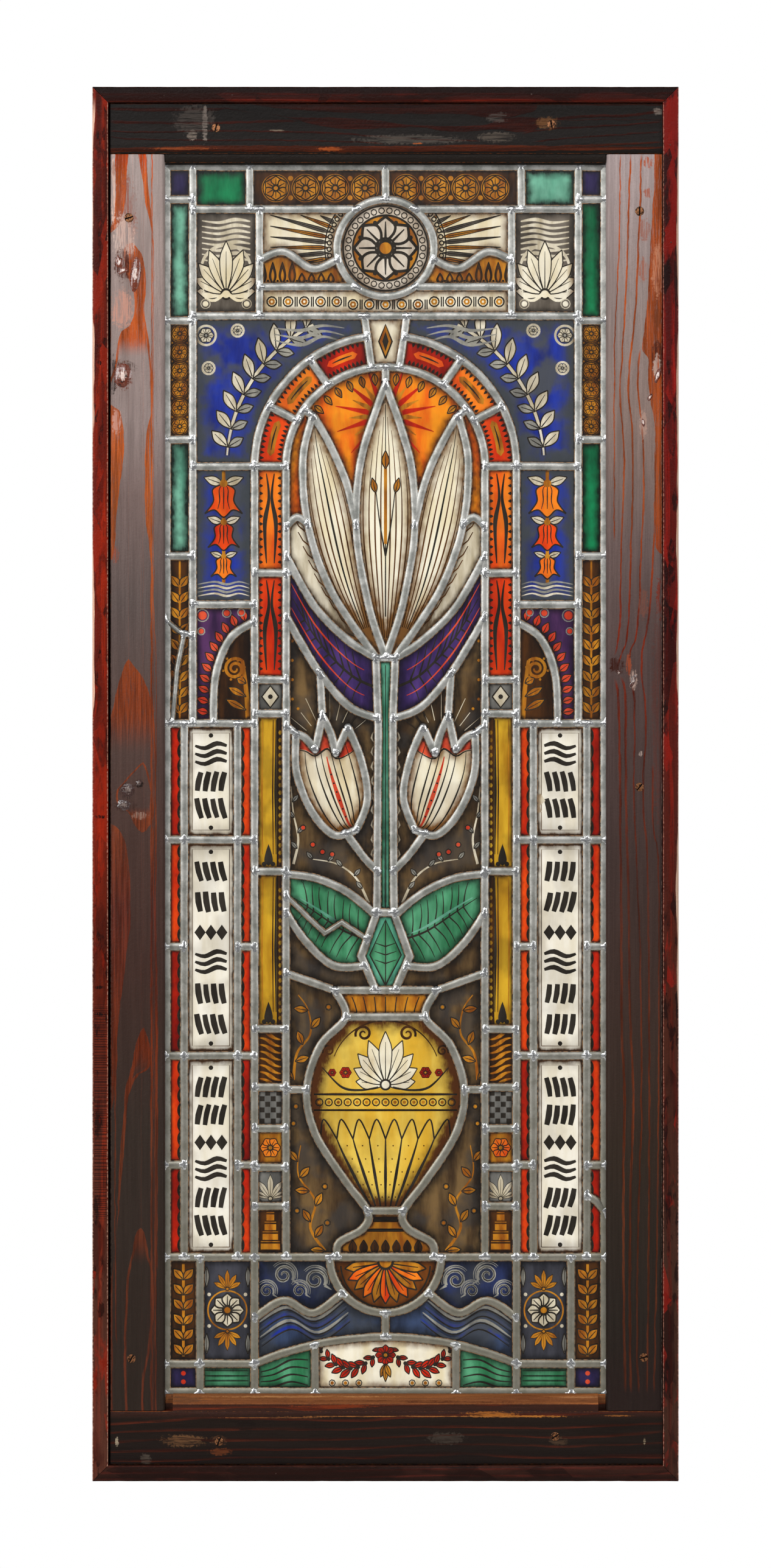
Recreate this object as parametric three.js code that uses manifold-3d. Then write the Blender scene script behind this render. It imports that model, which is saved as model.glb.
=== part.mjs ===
// A leaded stained glass window: painted glass panes in lead cames, held in a pine sash
// with a narrow edging nailed round it.
//
// Millimetres, +Z up, the front faces -Y. The origin is on the back face, at the middle of
// the top rail, where the window is hung. Every piece is drawn on a sheet that lies flat:
// x across, y up from the foot of the sight opening, z forward from the back face. The whole
// sheet is stood up at the end.

import * as THREE from 'three';
import { mergeVertices } from 'three/addons/utils/BufferGeometryUtils.js';
import Module from 'manifold-3d';

const wasm = await Module();
wasm.setup();

// ---------------------------------------------------------------------------------------
// Driving dimensions

const GAP = 0.3; // clearance between neighbouring pieces

const SIGHT_WIDTH = 363;
const SIGHT_HEIGHT = 1012;

const SASH_DEPTH = 33;
const STILE_WIDTH = 46.2;
const LEFT_SHRINKAGE = 1.5; // the left side of the sash has shrunk away from the edging
const TOP_RAIL_WIDTH = 41.7;
const BOTTOM_RAIL_WIDTH = 44.2;
const TOP_LIP = 8; // moulded lip of the top rail, between the stiles
const SILL = 13.5; // bevelled sill of the bottom rail, between the stiles
const REBATE_WIDTH = 6.5;
const REBATE_DEPTH = 25;

const EDGING_WIDTH = 13;
const EDGING_DEPTH = 36;
const ARRIS = 0.8;

const BEAD_WIDTH = 10;
const BEAD_BACK = 8;
const BEAD_FRONT = 18.4;

const PANEL_DEPTH = 21.7; // middle plane of the leaded panel
const CAME_WIDTH = 6;
const EDGE_CAME_WIDTH = 10;
const MENDING_LEAD_WIDTH = 3.5;
const CAME_THICKNESS = 6;
const FLANGE_THICKNESS = 1.2;
const HEART_WIDTH = 1.6;
const GLASS_THICKNESS = 3;

const FINE = 1; // multiplies the number of facets of every curve

// The leading, measured from the middle of the sight opening and up from its foot
const EDGE_X = 182.5;
const EDGE_FOOT = -1;
const EDGE_HEAD = 1013;
const BORDER_X = 159;
const COLUMN_OUT = 108;
const COLUMN_IN = 82;
const INSCRIPTION_OUT = 166;
const INSCRIPTION_IN = 122;
const INSCRIPTION_HEAD = 552;
const PLINTH_HEAD = 112;
const SPRINGING = 764;
const FRIEZE_FOOT = 888;
const FRIEZE_HEAD = 976;
const ROUNDEL_Y = 944;
const ROUNDEL_RADIUS = 40;
const SHELL_RADIUS = 46;

// ---------------------------------------------------------------------------------------
// Solids

function solidOf(geometry) {
  const bare = geometry.clone();
  bare.deleteAttribute('normal');
  bare.deleteAttribute('uv');
  const merged = mergeVertices(bare, 1e-4);
  return new wasm.Manifold(new wasm.Mesh({
    numProp: 3,
    vertProperties: new Float32Array(merged.attributes.position.array),
    triVerts: new Uint32Array(merged.index.array),
  }));
}

function geometryOf(solid) {
  const mesh = solid.getMesh();
  const geometry = new THREE.BufferGeometry();
  geometry.setAttribute('position', new THREE.BufferAttribute(mesh.vertProperties, 3));
  geometry.setIndex(new THREE.BufferAttribute(mesh.triVerts, 1));
  geometry.computeVertexNormals();
  return geometry;
}

function joined(solids) {
  return solids.slice(1).reduce((whole, solid) => whole.add(solid), solids[0]);
}

// Faces that were left in strips by a join are merged again where they lie in one plane.
function cleaned(solid) {
  return solid.asOriginal().simplify(0.05);
}

function outline(pairs) {
  return new THREE.Shape(pairs.map(([x, y]) => new THREE.Vector2(x, y)));
}

function slab(shape, back, front) {
  const geometry = new THREE.ExtrudeGeometry(shape, {
    depth: front - back,
    bevelEnabled: false,
    curveSegments: 1,
  });
  return geometry.translate(0, 0, back);
}

// A length of moulding, centred on its length, with its section drawn as [inward, forward].
// A mitred one gets shorter by the inward distance at both ends.
function moulding(section, length, mitred = false) {
  const geometry = slab(outline(section), -length / 2, length / 2);
  const position = geometry.attributes.position;
  if (mitred) {
    for (let i = 0; i < position.count; i += 1) {
      const end = Math.sign(position.getZ(i));
      position.setZ(i, end * (length / 2 - GAP * 0.75 - position.getX(i)));
    }
    geometry.computeVertexNormals();
  }
  return geometry;
}

function named(name, geometry, material) {
  const mesh = new THREE.Mesh(geometry, material);
  mesh.name = name;
  return mesh;
}

// ---------------------------------------------------------------------------------------
// Wood: edging, sash and glazing beads

const sheet = new THREE.Group();

const edgingWood = new THREE.MeshStandardMaterial({
  color: 0x4a1710, roughness: 0.35, metalness: 0,
});
const stileWood = new THREE.MeshStandardMaterial({
  color: 0x5a3a30, roughness: 0.4, metalness: 0,
});
const railWood = new THREE.MeshStandardMaterial({
  color: 0x33221f, roughness: 0.4, metalness: 0,
});
const beadWood = new THREE.MeshStandardMaterial({
  color: 0x6b4a32, roughness: 0.6, metalness: 0,
});

const sashHalf = SIGHT_WIDTH / 2 + STILE_WIDTH;
const outerHalf = sashHalf + GAP + EDGING_WIDTH;
const outerHead = SIGHT_HEIGHT + TOP_LIP + TOP_RAIL_WIDTH + GAP + EDGING_WIDTH;
const outerFoot = -SILL - BOTTOM_RAIL_WIDTH - GAP - EDGING_WIDTH;
const turns = { left: 0, bottom: Math.PI / 2, right: Math.PI, top: -Math.PI / 2 };

// Four mitred lengths round a rectangle, with the section's zero on its outside.
function mitredRing(name, section, half, foot, head, material) {
  const ring = new THREE.Group();
  ring.position.set(0, (foot + head) / 2, 0);
  for (const [side, turn] of Object.entries(turns)) {
    const upright = side === 'left' || side === 'right';
    const length = upright ? head - foot : 2 * half;
    const reach = upright ? half : (head - foot) / 2;
    const mesh = named(`${name}_${side}`, moulding(section, length, true), material);
    mesh.rotation.x = Math.PI / 2;
    mesh.position.x = -reach;
    const place = new THREE.Group();
    place.rotation.z = turn;
    place.add(mesh);
    ring.add(place);
  }
  return ring;
}

const edgingSection = [
  [0, 0],
  [EDGING_WIDTH, 0],
  [EDGING_WIDTH, EDGING_DEPTH - ARRIS],
  [EDGING_WIDTH - ARRIS, EDGING_DEPTH],
  [ARRIS, EDGING_DEPTH],
  [0, EDGING_DEPTH - ARRIS],
];
sheet.add(mitredRing('edging', edgingSection, outerHalf, outerFoot, outerHead, edgingWood));

// The stile's inner edge is rounded over in front and rebated behind. Its section starts at
// the sight line and runs outward.
function stileSection(width) {
  return [
    [0, REBATE_DEPTH],
    [REBATE_WIDTH, REBATE_DEPTH],
    [REBATE_WIDTH, 0],
    [width, 0],
    [width, SASH_DEPTH - ARRIS],
    [width - ARRIS, SASH_DEPTH],
    [4, SASH_DEPTH],
    [1.9, SASH_DEPTH - 0.5],
    [0.6, SASH_DEPTH - 1.9],
    [0, SASH_DEPTH - 4.2],
  ];
}

const stileFoot = -SILL + GAP;
const stileHead = SIGHT_HEIGHT + TOP_LIP - GAP;

const rightStile = named('stile_right', moulding(stileSection(STILE_WIDTH), stileHead - stileFoot),
  stileWood);
rightStile.rotation.x = Math.PI / 2;
rightStile.position.set(SIGHT_WIDTH / 2, (stileHead + stileFoot) / 2, 0);
sheet.add(rightStile);

const leftStile = named('stile_left',
  moulding(stileSection(STILE_WIDTH - LEFT_SHRINKAGE), stileHead - stileFoot), stileWood);
leftStile.rotation.x = Math.PI / 2;
leftStile.position.x = SIGHT_WIDTH / 2;
const leftSide = new THREE.Group();
leftSide.position.y = (stileHead + stileFoot) / 2;
leftSide.rotation.z = Math.PI;
leftSide.add(leftStile);
sheet.add(leftSide);

// A rail runs over the ends of the stiles. Its lip is as wide as the sight opening, and its
// seat, which fills the back of the lip, is as wide as the rebate.
function rail(section, lip, seat) {
  const railLength = 2 * sashHalf - LEFT_SHRINKAGE;
  const body = moulding(section, railLength).translate(0, 0, LEFT_SHRINKAGE / 2);
  const lipBar = moulding(lip, SIGHT_WIDTH - 2 * GAP);
  const seatBar = moulding(seat, SIGHT_WIDTH + 2 * (REBATE_WIDTH - GAP));
  return geometryOf(cleaned(joined([body, lipBar, seatBar].map(solidOf))));
}

function seatSection(foot, head) {
  return [[foot, 0], [head, 0], [head, REBATE_DEPTH - GAP], [foot, REBATE_DEPTH - GAP]];
}

function placeRail(mesh) {
  mesh.rotation.set(Math.PI / 2, Math.PI / 2, 0); // section [x, y] goes to [up, forward]
  sheet.add(mesh);
}

const LAP = 1; // how far a lip runs into the body of its rail, so that they join

const topBody = SIGHT_HEIGHT + TOP_LIP;
placeRail(named('rail_top', rail(
  [
    [topBody, 0],
    [topBody + TOP_RAIL_WIDTH, 0],
    [topBody + TOP_RAIL_WIDTH, SASH_DEPTH - ARRIS],
    [topBody + TOP_RAIL_WIDTH - ARRIS, SASH_DEPTH],
    [topBody, SASH_DEPTH],
  ],
  [
    [SIGHT_HEIGHT, REBATE_DEPTH],
    [SIGHT_HEIGHT + REBATE_WIDTH, REBATE_DEPTH],
    [SIGHT_HEIGHT + REBATE_WIDTH, LAP],
    [topBody + LAP, LAP],
    [topBody + LAP, SASH_DEPTH - 1.2],
    [SIGHT_HEIGHT + 3.4, SASH_DEPTH - 1.2],
    [SIGHT_HEIGHT + 1.2, SASH_DEPTH - 2.2],
    [SIGHT_HEIGHT, SASH_DEPTH - 5],
  ],
  seatSection(SIGHT_HEIGHT + REBATE_WIDTH, topBody + LAP),
), railWood));

const bottomBody = -SILL - BOTTOM_RAIL_WIDTH;
placeRail(named('rail_bottom', rail(
  [
    [bottomBody, 0],
    [-SILL, 0],
    [-SILL, SASH_DEPTH - 0.4],
    [-SILL - 0.4, SASH_DEPTH],
    [bottomBody + ARRIS, SASH_DEPTH],
    [bottomBody, SASH_DEPTH - ARRIS],
  ],
  [
    [-SILL - LAP, LAP],
    [-REBATE_WIDTH, LAP],
    [-REBATE_WIDTH, REBATE_DEPTH],
    [0, REBATE_DEPTH],
    [0, REBATE_DEPTH + 1.6],
    [-6.6, SASH_DEPTH - 1],
    [-7.6, SASH_DEPTH],
    [-SILL - LAP, SASH_DEPTH],
  ],
  seatSection(-SILL - LAP, -REBATE_WIDTH),
), railWood));

const beadOutside = REBATE_WIDTH - GAP;
const beadSection = [
  [0, BEAD_BACK],
  [BEAD_WIDTH - 3, BEAD_BACK],
  [BEAD_WIDTH, BEAD_BACK + 4],
  [BEAD_WIDTH, BEAD_FRONT],
  [0, BEAD_FRONT],
];
sheet.add(mitredRing('bead', beadSection, SIGHT_WIDTH / 2 + beadOutside,
  -beadOutside, SIGHT_HEIGHT + beadOutside, beadWood));

// ---------------------------------------------------------------------------------------
// Lines of the leading. A divider is a came with a heart, so it parts two panes. A band is
// a strip of lead over the front of a pane, which goes on behind it.

function arc(x, y, radius, from, to, steps) {
  return Array.from({ length: steps + 1 }, (_, i) => {
    const angle = THREE.MathUtils.degToRad(from + (to - from) * i / steps);
    return [x + radius * Math.cos(angle), y + radius * Math.sin(angle)];
  });
}

function spline(pairs, steps) {
  const curve = new THREE.SplineCurve(pairs.map(([x, y]) => new THREE.Vector2(x, y)));
  return curve.getPoints(steps * FINE).map((point) => [point.x, point.y]);
}

const leads = [];

function lead(points, kind, width = CAME_WIDTH) {
  leads.push({ points, heart: kind === 'divider', width });
}

function leadPair(points, kind) {
  lead(points, kind);
  lead(points.map(([x, y]) => [-x, y]), kind);
}

// Border, frieze and roundel
leadPair([[BORDER_X, EDGE_HEAD], [BORDER_X, INSCRIPTION_HEAD]], 'divider');
for (const y of [984, 884, 786, 690]) {
  leadPair([[EDGE_X, y], [BORDER_X, y]], 'band');
}
leadPair([[BORDER_X, FRIEZE_HEAD], [24, FRIEZE_HEAD]], 'divider');
leadPair([[112, EDGE_HEAD], [112, FRIEZE_HEAD]], 'band');
lead([[0, EDGE_HEAD], [0, ROUNDEL_Y + ROUNDEL_RADIUS]], 'divider');
lead(arc(0, ROUNDEL_Y, ROUNDEL_RADIUS, 0, 360, 20 * FINE), 'divider');
lead([[-BORDER_X, FRIEZE_FOOT], [BORDER_X, FRIEZE_FOOT]], 'divider');
leadPair([[104, FRIEZE_HEAD], [104, FRIEZE_FOOT]], 'divider');
leadPair([[104, 912], [24, 912]], 'divider');
leadPair(spline([[39, 935], [60, 927], [84, 941], [104, 934]], 5), 'band');

// Columns and arch
const KEY_ANGLE = 82; // where the arch stops against the keystone, from the springing
leadPair([[COLUMN_OUT, SPRINGING], [COLUMN_OUT, EDGE_FOOT]], 'divider');
leadPair([[COLUMN_IN, SPRINGING], [COLUMN_IN, PLINTH_HEAD]], 'divider');
leadPair(arc(0, SPRINGING, COLUMN_OUT, 0, KEY_ANGLE, 6 * FINE), 'divider');
lead(arc(0, SPRINGING, COLUMN_IN, 0, 180, 12 * FINE), 'divider');
leadPair([[11.4, SPRINGING + 81.2], [17.4, FRIEZE_FOOT]], 'divider');
for (const angle of [0, 27.3, 54.7]) {
  const [inner] = arc(0, SPRINGING, COLUMN_IN, angle, angle, 1);
  const [outer] = arc(0, SPRINGING, COLUMN_OUT, angle, angle, 1);
  leadPair([inner, outer], 'band');
}
for (const y of [676, 588, 560, 430, 300, 252, 218, 186, 154]) {
  leadPair([[COLUMN_IN, y], [COLUMN_OUT, y]], 'band');
}

// Side panes and inscription blocks
for (const y of [SPRINGING, 650]) {
  leadPair([[COLUMN_OUT, y], [BORDER_X, y]], 'divider');
}
leadPair(spline([[COLUMN_OUT, 636], [128, 622], [140, 592], [142, INSCRIPTION_HEAD]], 4), 'band');
leadPair([[EDGE_X, INSCRIPTION_HEAD], [COLUMN_OUT, INSCRIPTION_HEAD]], 'divider');
for (const x of [INSCRIPTION_IN, INSCRIPTION_OUT]) {
  leadPair([[x, INSCRIPTION_HEAD], [x, PLINTH_HEAD]], 'band');
}
for (const y of [456, 278]) {
  leadPair([[COLUMN_OUT, y], [EDGE_X, y]], 'band');
}
for (const y of [368, 188]) {
  leadPair([[COLUMN_OUT, y], [INSCRIPTION_IN, y]], 'band');
  leadPair([[INSCRIPTION_OUT, y], [EDGE_X, y]], 'band');
}

// Plinth: corner blocks, garland, waves and shell
const GARLAND_RADIUS = 276.1;
const GARLAND_SPREAD = 23.03;
lead([[-EDGE_X, PLINTH_HEAD], [EDGE_X, PLINTH_HEAD]], 'divider');
leadPair([[153, PLINTH_HEAD], [153, EDGE_FOOT]], 'band');
leadPair([[EDGE_X, 24], [COLUMN_OUT, 24]], 'band');
lead(arc(0, 46 - GARLAND_RADIUS, GARLAND_RADIUS,
  90 - GARLAND_SPREAD, 90 + GARLAND_SPREAD, 8 * FINE), 'divider');
leadPair([[58, EDGE_FOOT], [58, 39.8]], 'band');
lead(arc(0, PLINTH_HEAD, SHELL_RADIUS, 180, 360, 10 * FINE), 'divider');
lead([[0, PLINTH_HEAD - SHELL_RADIUS], [0, 46]], 'divider');
leadPair(spline([[35.2, 82.4], [60, 66], [84, 76], [108, 62]], 5), 'band');

// Vase and stem
leadPair(spline([
  [40, 112], [38, 124], [18, 136], [15, 150], [34, 176],
  [58, 214], [65, 250], [54, 286], [33, 310], [42, 332],
], 15), 'divider');
lead([[-15, 150], [15, 150]], 'band');
lead([[-33, 310], [33, 310]], 'band');
lead([[-42, 332], [42, 332]], 'divider');
leadPair([[65, 250], [82, 250]], 'band');
leadPair([[42, 332], [82, 346]], 'band');
leadPair([[8, 332], [20, 360], [7, 396], [6, 556], [8, 606]], 'divider');
lead([[-7, 396], [7, 396]], 'band');
leadPair(spline([[17, 352], [42, 352], [64, 370], [82, 396]], 4), 'divider');
leadPair(spline([[8, 394], [30, 412], [56, 424], [82, 428]], 4), 'divider');

// Tulips: a cup, and a jagged top made of four short leads
leadPair([
  ...spline([[31, 549], [20, 522], [15, 490], [24, 464]], 5),
  ...spline([[24, 464], [42, 460], [60, 478], [73, 510], [74, 544]], 6).slice(1),
], 'divider');
leadPair([[31, 549], [41, 527]], 'divider');
leadPair(spline([[41, 527], [45, 543], [52, 558]], 2), 'divider');
leadPair([[52, 558], [58, 530]], 'divider');
leadPair(spline([[58, 530], [66, 540], [74, 544]], 2), 'divider');
leadPair(spline([[6, 430], [18, 442], [33, 462]], 2), 'divider');
leadPair([[52, 558], [54, 594]], 'band');
leadPair([[74, 544], [82, 550]], 'divider');

// Dark leaves and the lily
leadPair(spline([[6, 556], [30, 566], [56, 596], [82, 640]], 5), 'divider');
leadPair(spline([[8, 606], [30, 620], [58, 648], [82, 690]], 5), 'divider');
lead([[-8, 606], [8, 606]], 'divider');
leadPair(spline([[0, 606], [14, 650], [24, 710], [20, 770], [0, 832]], 8), 'divider');
lead([[0, 832], [0, 846]], 'divider');
leadPair(spline([[24, 716], [33, 752], [47, 784], [60, 806]], 4), 'divider');
leadPair([[60, 806], [67.2, 811]], 'band');
const petalEdge = spline([[60, 806], [68, 770], [64, 716], [45, 662], [8, 606]], 8);
leadPair(petalEdge.slice(0, 4 * FINE + 1), 'divider');
leadPair(petalEdge.slice(4 * FINE), 'band');
leadPair(spline([[64, 716], [73, 722], [82, 714]], 2), 'divider');

// Leads that mend old cracks
lead([[-EDGE_X, 638], [-170, 628], [-BORDER_X, 624]], 'band', MENDING_LEAD_WIDTH);
lead([[-166, 626], [-172, 596], [-176, INSCRIPTION_HEAD]], 'band', MENDING_LEAD_WIDTH);
lead([[-15, 374], [-36, 388], [-50, 379], [-82, 410]], 'band', MENDING_LEAD_WIDTH);

// The edge came is a closed line round the panel.
const edgeLine = [
  [-EDGE_X, EDGE_FOOT], [EDGE_X, EDGE_FOOT], [EDGE_X, EDGE_HEAD], [-EDGE_X, EDGE_HEAD],
];

// ---------------------------------------------------------------------------------------
// Lead and glass

const MITRE_LIMIT = 1.8; // longest corner of a bent came, in half widths

// One side of a line drawn with a width, with mitred corners.
function offset(points, distance, closed) {
  const count = points.length;
  const vectors = points.map(([x, y]) => new THREE.Vector2(x, y));
  const normal = (from, to) => to.clone().sub(from).normalize()
    .rotateAround(new THREE.Vector2(), Math.PI / 2);
  return vectors.map((point, i) => {
    const before = closed || i > 0 ? vectors[(i + count - 1) % count] : null;
    const after = closed || i < count - 1 ? vectors[(i + 1) % count] : null;
    const first = before ? normal(before, point) : normal(point, after);
    const second = after ? normal(point, after) : first;
    const mitre = first.clone().add(second).normalize();
    const reach = Math.min(1 / mitre.dot(first), MITRE_LIMIT);
    return point.clone().addScaledVector(mitre, distance * reach);
  });
}

function isRing(points) {
  const [first, last] = [points[0], points[points.length - 1]];
  return Math.hypot(first[0] - last[0], first[1] - last[1]) < 1e-6;
}

function ribbon(points, width) {
  if (isRing(points)) {
    return closedRibbon(points.slice(1), width);
  }
  const side = offset(points, width / 2, false);
  const otherSide = offset(points, -width / 2, false).reverse();
  return new THREE.Shape([...side, ...otherSide]);
}

function closedRibbon(points, width) {
  const shape = new THREE.Shape(offset(points, -width / 2, true));
  shape.holes.push(new THREE.Path(offset(points, width / 2, true)));
  return shape;
}

// All the leads as one flat net, every lead as wide as widthOf says.
function net(lines, edgeWidth, widthOf, back, front) {
  const strips = lines.map((line) => solidOf(slab(ribbon(line.points, widthOf(line)), back, front)));
  const edge = solidOf(slab(closedRibbon(edgeLine, edgeWidth), back, front));
  return joined([edge, ...strips]);
}

const dividers = leads.filter((line) => line.heart);
const cameBack = PANEL_DEPTH - CAME_THICKNESS / 2;
const cameFront = PANEL_DEPTH + CAME_THICKNESS / 2;
const heartOverlap = 0.1;

const leadMetal = new THREE.MeshStandardMaterial({
  color: 0x8a8b88, roughness: 0.45, metalness: 0.8,
});

const lineWidth = (line) => line.width;
const frontFlanges = net(leads, EDGE_CAME_WIDTH, lineWidth, cameFront - FLANGE_THICKNESS, cameFront);
const backFlanges = net(dividers, EDGE_CAME_WIDTH, lineWidth, cameBack, cameBack + FLANGE_THICKNESS);
const hearts = net(dividers, HEART_WIDTH, () => HEART_WIDTH,
  cameBack + FLANGE_THICKNESS - heartOverlap, cameFront - FLANGE_THICKNESS + heartOverlap);
sheet.add(named('lead_cames', geometryOf(cleaned(joined([frontFlanges, backFlanges, hearts]))), leadMetal));

// The panes are what is left of one sheet of glass when the hearts' grooves are cut out.
const grooveWidth = HEART_WIDTH + 2 * GAP;
const glassBack = PANEL_DEPTH - GLASS_THICKNESS / 2;
const glassFront = PANEL_DEPTH + GLASS_THICKNESS / 2;
const wholeGlass = solidOf(slab(outline(edgeLine), glassBack, glassFront));
const grooves = net(dividers, grooveWidth, () => grooveWidth, glassBack - 1, glassFront + 1);
const panes = wholeGlass.subtract(grooves).decompose()
  .map((pane) => new THREE.Mesh(geometryOf(cleaned(pane))));

// Each pane's name, a point on it, and the colour of its glass. A pane with a point off the
// middle has a twin on the left.
const paneList = [
  ['border', 170, 800, 0x4d7a3c],
  ['frieze_head', 60, 995, 0xb9853a],
  ['roundel', 0, 944, 0xd9d4c0],
  ['fan', 70, 955, 0xe6ddb8],
  ['frieze_leaf', 130, 930, 0x9a5a22],
  ['bead_bar', 0, 896, 0xe6ddb8],
  ['spandrel', 130, 850, 0x2b46a0],
  ['sky', 130, 700, 0x2f4fae],
  ['side_scroll', 150, 600, 0x5b2a4a],
  ['keystone', 0, 866, 0xe6ddb8],
  ['column', 95, 500, 0xd9772a],
  ['inscription', 144, 330, 0xe3d9b4],
  ['corner', 130, 60, 0x4f8f55],
  ['garland', 0, 20, 0xe6ddb8],
  ['waves', 80, 95, 0x20356f],
  ['shell', 0, 92, 0xc98a35],
  ['vase', 0, 230, 0xe0a62c],
  ['vase_ground', 74, 150, 0x5a4a3c],
  ['stem', 0, 480, 0x3f8f7a],
  ['lower_leaf', 50, 395, 0x3c7a4a],
  ['tulip', 45, 500, 0xe9dfbd],
  ['stalk_ground', 75, 470, 0x6a5a48],
  ['tulip_ground', 13, 530, 0x6a5a48],
  ['dark_leaf', 57, 620, 0x4a2f5e],
  ['middle_petal', 0, 700, 0xefe6c8],
  ['side_petals', 45, 720, 0xefe6c8],
  ['glow', 30, 812, 0xe2a83a],
];

const finder = new THREE.Raycaster();
const towardsBack = new THREE.Vector3(0, 0, -1);

function paneAt(x, y) {
  finder.set(new THREE.Vector3(x, y, SASH_DEPTH * 2), towardsBack);
  const found = panes.find((pane) => finder.intersectObject(pane).length > 0);
  if (!found) {
    throw new Error(`no pane at ${x}, ${y}`);
  }
  return found;
}

function addPane(name, x, y, colour) {
  const glass = new THREE.MeshStandardMaterial({ color: colour, roughness: 0.2, metalness: 0 });
  sheet.add(named(`glass_${name}`, paneAt(x, y).geometry, glass));
}

for (const [name, x, y, colour] of paneList) {
  if (x === 0) {
    addPane(name, x, y, colour);
  } else {
    addPane(`${name}_left`, -x, y, colour);
    addPane(`${name}_right`, x, y, colour);
  }
}

// ---------------------------------------------------------------------------------------
// The finished window, stood up with its origin on the back of the top rail

sheet.rotation.x = Math.PI / 2;
sheet.position.z = -(topBody + TOP_RAIL_WIDTH / 2);

const stainedGlassWindow = new THREE.Group();
stainedGlassWindow.add(sheet);

export default stainedGlassWindow;
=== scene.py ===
# A leaded stained glass window in its pine sash, put together as it was made: the edging and
# the sash, the beads behind, the screws, the net of lead cames and the painted glass in it.
import math
import random

import bpy
import numpy as np
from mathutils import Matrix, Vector, noise
from mathutils.geometry import delaunay_2d_cdt


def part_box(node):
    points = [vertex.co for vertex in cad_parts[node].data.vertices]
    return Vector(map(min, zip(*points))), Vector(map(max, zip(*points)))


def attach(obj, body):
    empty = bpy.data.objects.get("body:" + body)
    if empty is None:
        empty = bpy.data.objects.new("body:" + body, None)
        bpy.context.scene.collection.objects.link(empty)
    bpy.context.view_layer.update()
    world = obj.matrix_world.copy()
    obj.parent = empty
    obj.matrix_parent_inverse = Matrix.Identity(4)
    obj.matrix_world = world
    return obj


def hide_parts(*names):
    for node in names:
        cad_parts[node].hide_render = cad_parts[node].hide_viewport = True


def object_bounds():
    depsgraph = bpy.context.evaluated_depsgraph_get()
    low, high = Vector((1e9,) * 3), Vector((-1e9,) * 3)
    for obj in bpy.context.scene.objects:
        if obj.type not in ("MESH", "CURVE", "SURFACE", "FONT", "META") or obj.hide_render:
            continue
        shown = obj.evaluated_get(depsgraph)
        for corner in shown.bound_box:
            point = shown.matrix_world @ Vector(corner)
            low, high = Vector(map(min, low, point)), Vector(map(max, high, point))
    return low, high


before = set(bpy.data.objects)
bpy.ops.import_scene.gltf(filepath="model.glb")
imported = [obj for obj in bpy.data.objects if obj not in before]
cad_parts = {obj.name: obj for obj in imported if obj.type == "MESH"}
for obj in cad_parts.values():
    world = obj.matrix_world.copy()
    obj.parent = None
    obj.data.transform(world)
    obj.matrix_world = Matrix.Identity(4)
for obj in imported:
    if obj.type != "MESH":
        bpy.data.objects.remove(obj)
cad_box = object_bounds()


# ---- Camera -------------------------------------------------------------------------------
# Straight in front of the window's middle, far enough off to show hardly any of its edges. The
# window fills most of the view's height.
low, high = (Vector(corner) for corner in cad_box)
middle = (low + high) / 2
VIEW_DISTANCE = 3.4
WINDOW_SHARE = 0.8897  # of the view's height

camera = bpy.data.objects.new("camera", bpy.data.cameras.new("camera"))
camera.location = (middle.x, low.y - VIEW_DISTANCE, middle.z)
camera.rotation_euler = (math.radians(90), 0, 0)
camera.data.sensor_fit = "VERTICAL"
camera.data.sensor_height = 36
camera.data.lens = 36 * VIEW_DISTANCE * WINDOW_SHARE / (high.z - low.z)
bpy.context.collection.objects.link(camera)
bpy.context.scene.camera = camera
bpy.context.scene.view_settings.view_transform = "Standard"


# ---- Floor and light ----------------------------------------------------------------------
# A pale floor well below the window, a white field behind the glass that shines through it,
# a dimmer room in front, and three soft lamps: left, right and overhead.
def node(kind, inputs, output=0, tree=None, **settings):
    """One output of a new node, in the tree of the sockets that feed it."""
    linked = bpy.types.NodeSocket
    tree = tree or next(value.id_data for value in inputs.values() if isinstance(value, linked))
    made = tree.nodes.new("ShaderNode" + kind)
    for name, value in settings.items():
        setattr(made, name, value)
    for name, value in inputs.items():
        if isinstance(value, linked):
            tree.links.new(value, made.inputs[name])
        else:
            made.inputs[name].default_value = value
    return made.outputs[output]


def maths(operation, *values, **settings):
    return node("Math", dict(enumerate(values)), operation=operation, **settings)


def times(first, *others, **settings):
    for other in others:
        first = maths("MULTIPLY", first, other, **settings)
    return first


def plus(first, *others):
    for other in others:
        first = maths("ADD", first, other)
    return first


def minus(first, second):
    return maths("SUBTRACT", first, second)


def mix(factor, first, second):
    return node("Mix", {0: factor, 6: first, 7: second}, 2, data_type="RGBA")


def fade(value, start, end):
    """0 at start, 1 at end, with soft ends."""
    return node("MapRange", {0: value, 1: start, 2: end}, interpolation_type="SMOOTHSTEP")


def clouds(vector, scale, detail=2.0, roughness=0.5):
    inputs = {"Vector": vector, "Scale": scale, "Detail": detail, "Roughness": roughness}
    return node("TexNoise", inputs)


def dress(shader, colour, roughness=None, height=None, strength=0.5, distance=0.0005):
    """Feeds a shader its colour, its roughness and the height of its bumps."""
    bump = height and node("Bump", {"Height": height, "Strength": strength, "Distance": distance})
    for socket, value in (("Base Color", colour), ("Roughness", roughness), ("Normal", bump)):
        if value:
            shader.id_data.links.new(value, shader.inputs[socket])


def tint(code):
    """A colour code such as "c08030" as a linear colour."""
    parts = [int(code[i:i + 2], 16) / 255 for i in (0, 2, 4)]
    return (*(p / 12.92 if p < 0.04 else ((p + 0.055) / 1.055) ** 2.4 for p in parts), 1.0)


def material(name, roughness, **plain):
    """A new material with its plain values set on the shader, and its tree and shader."""
    made = bpy.data.materials.new(name)
    made.use_nodes = True
    shader = made.node_tree.nodes["Principled BSDF"]
    shader.inputs["Roughness"].default_value = roughness
    for socket, value in plain.items():
        shader.inputs[socket.replace("_", " ")].default_value = value
    return made, made.node_tree, shader


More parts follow.
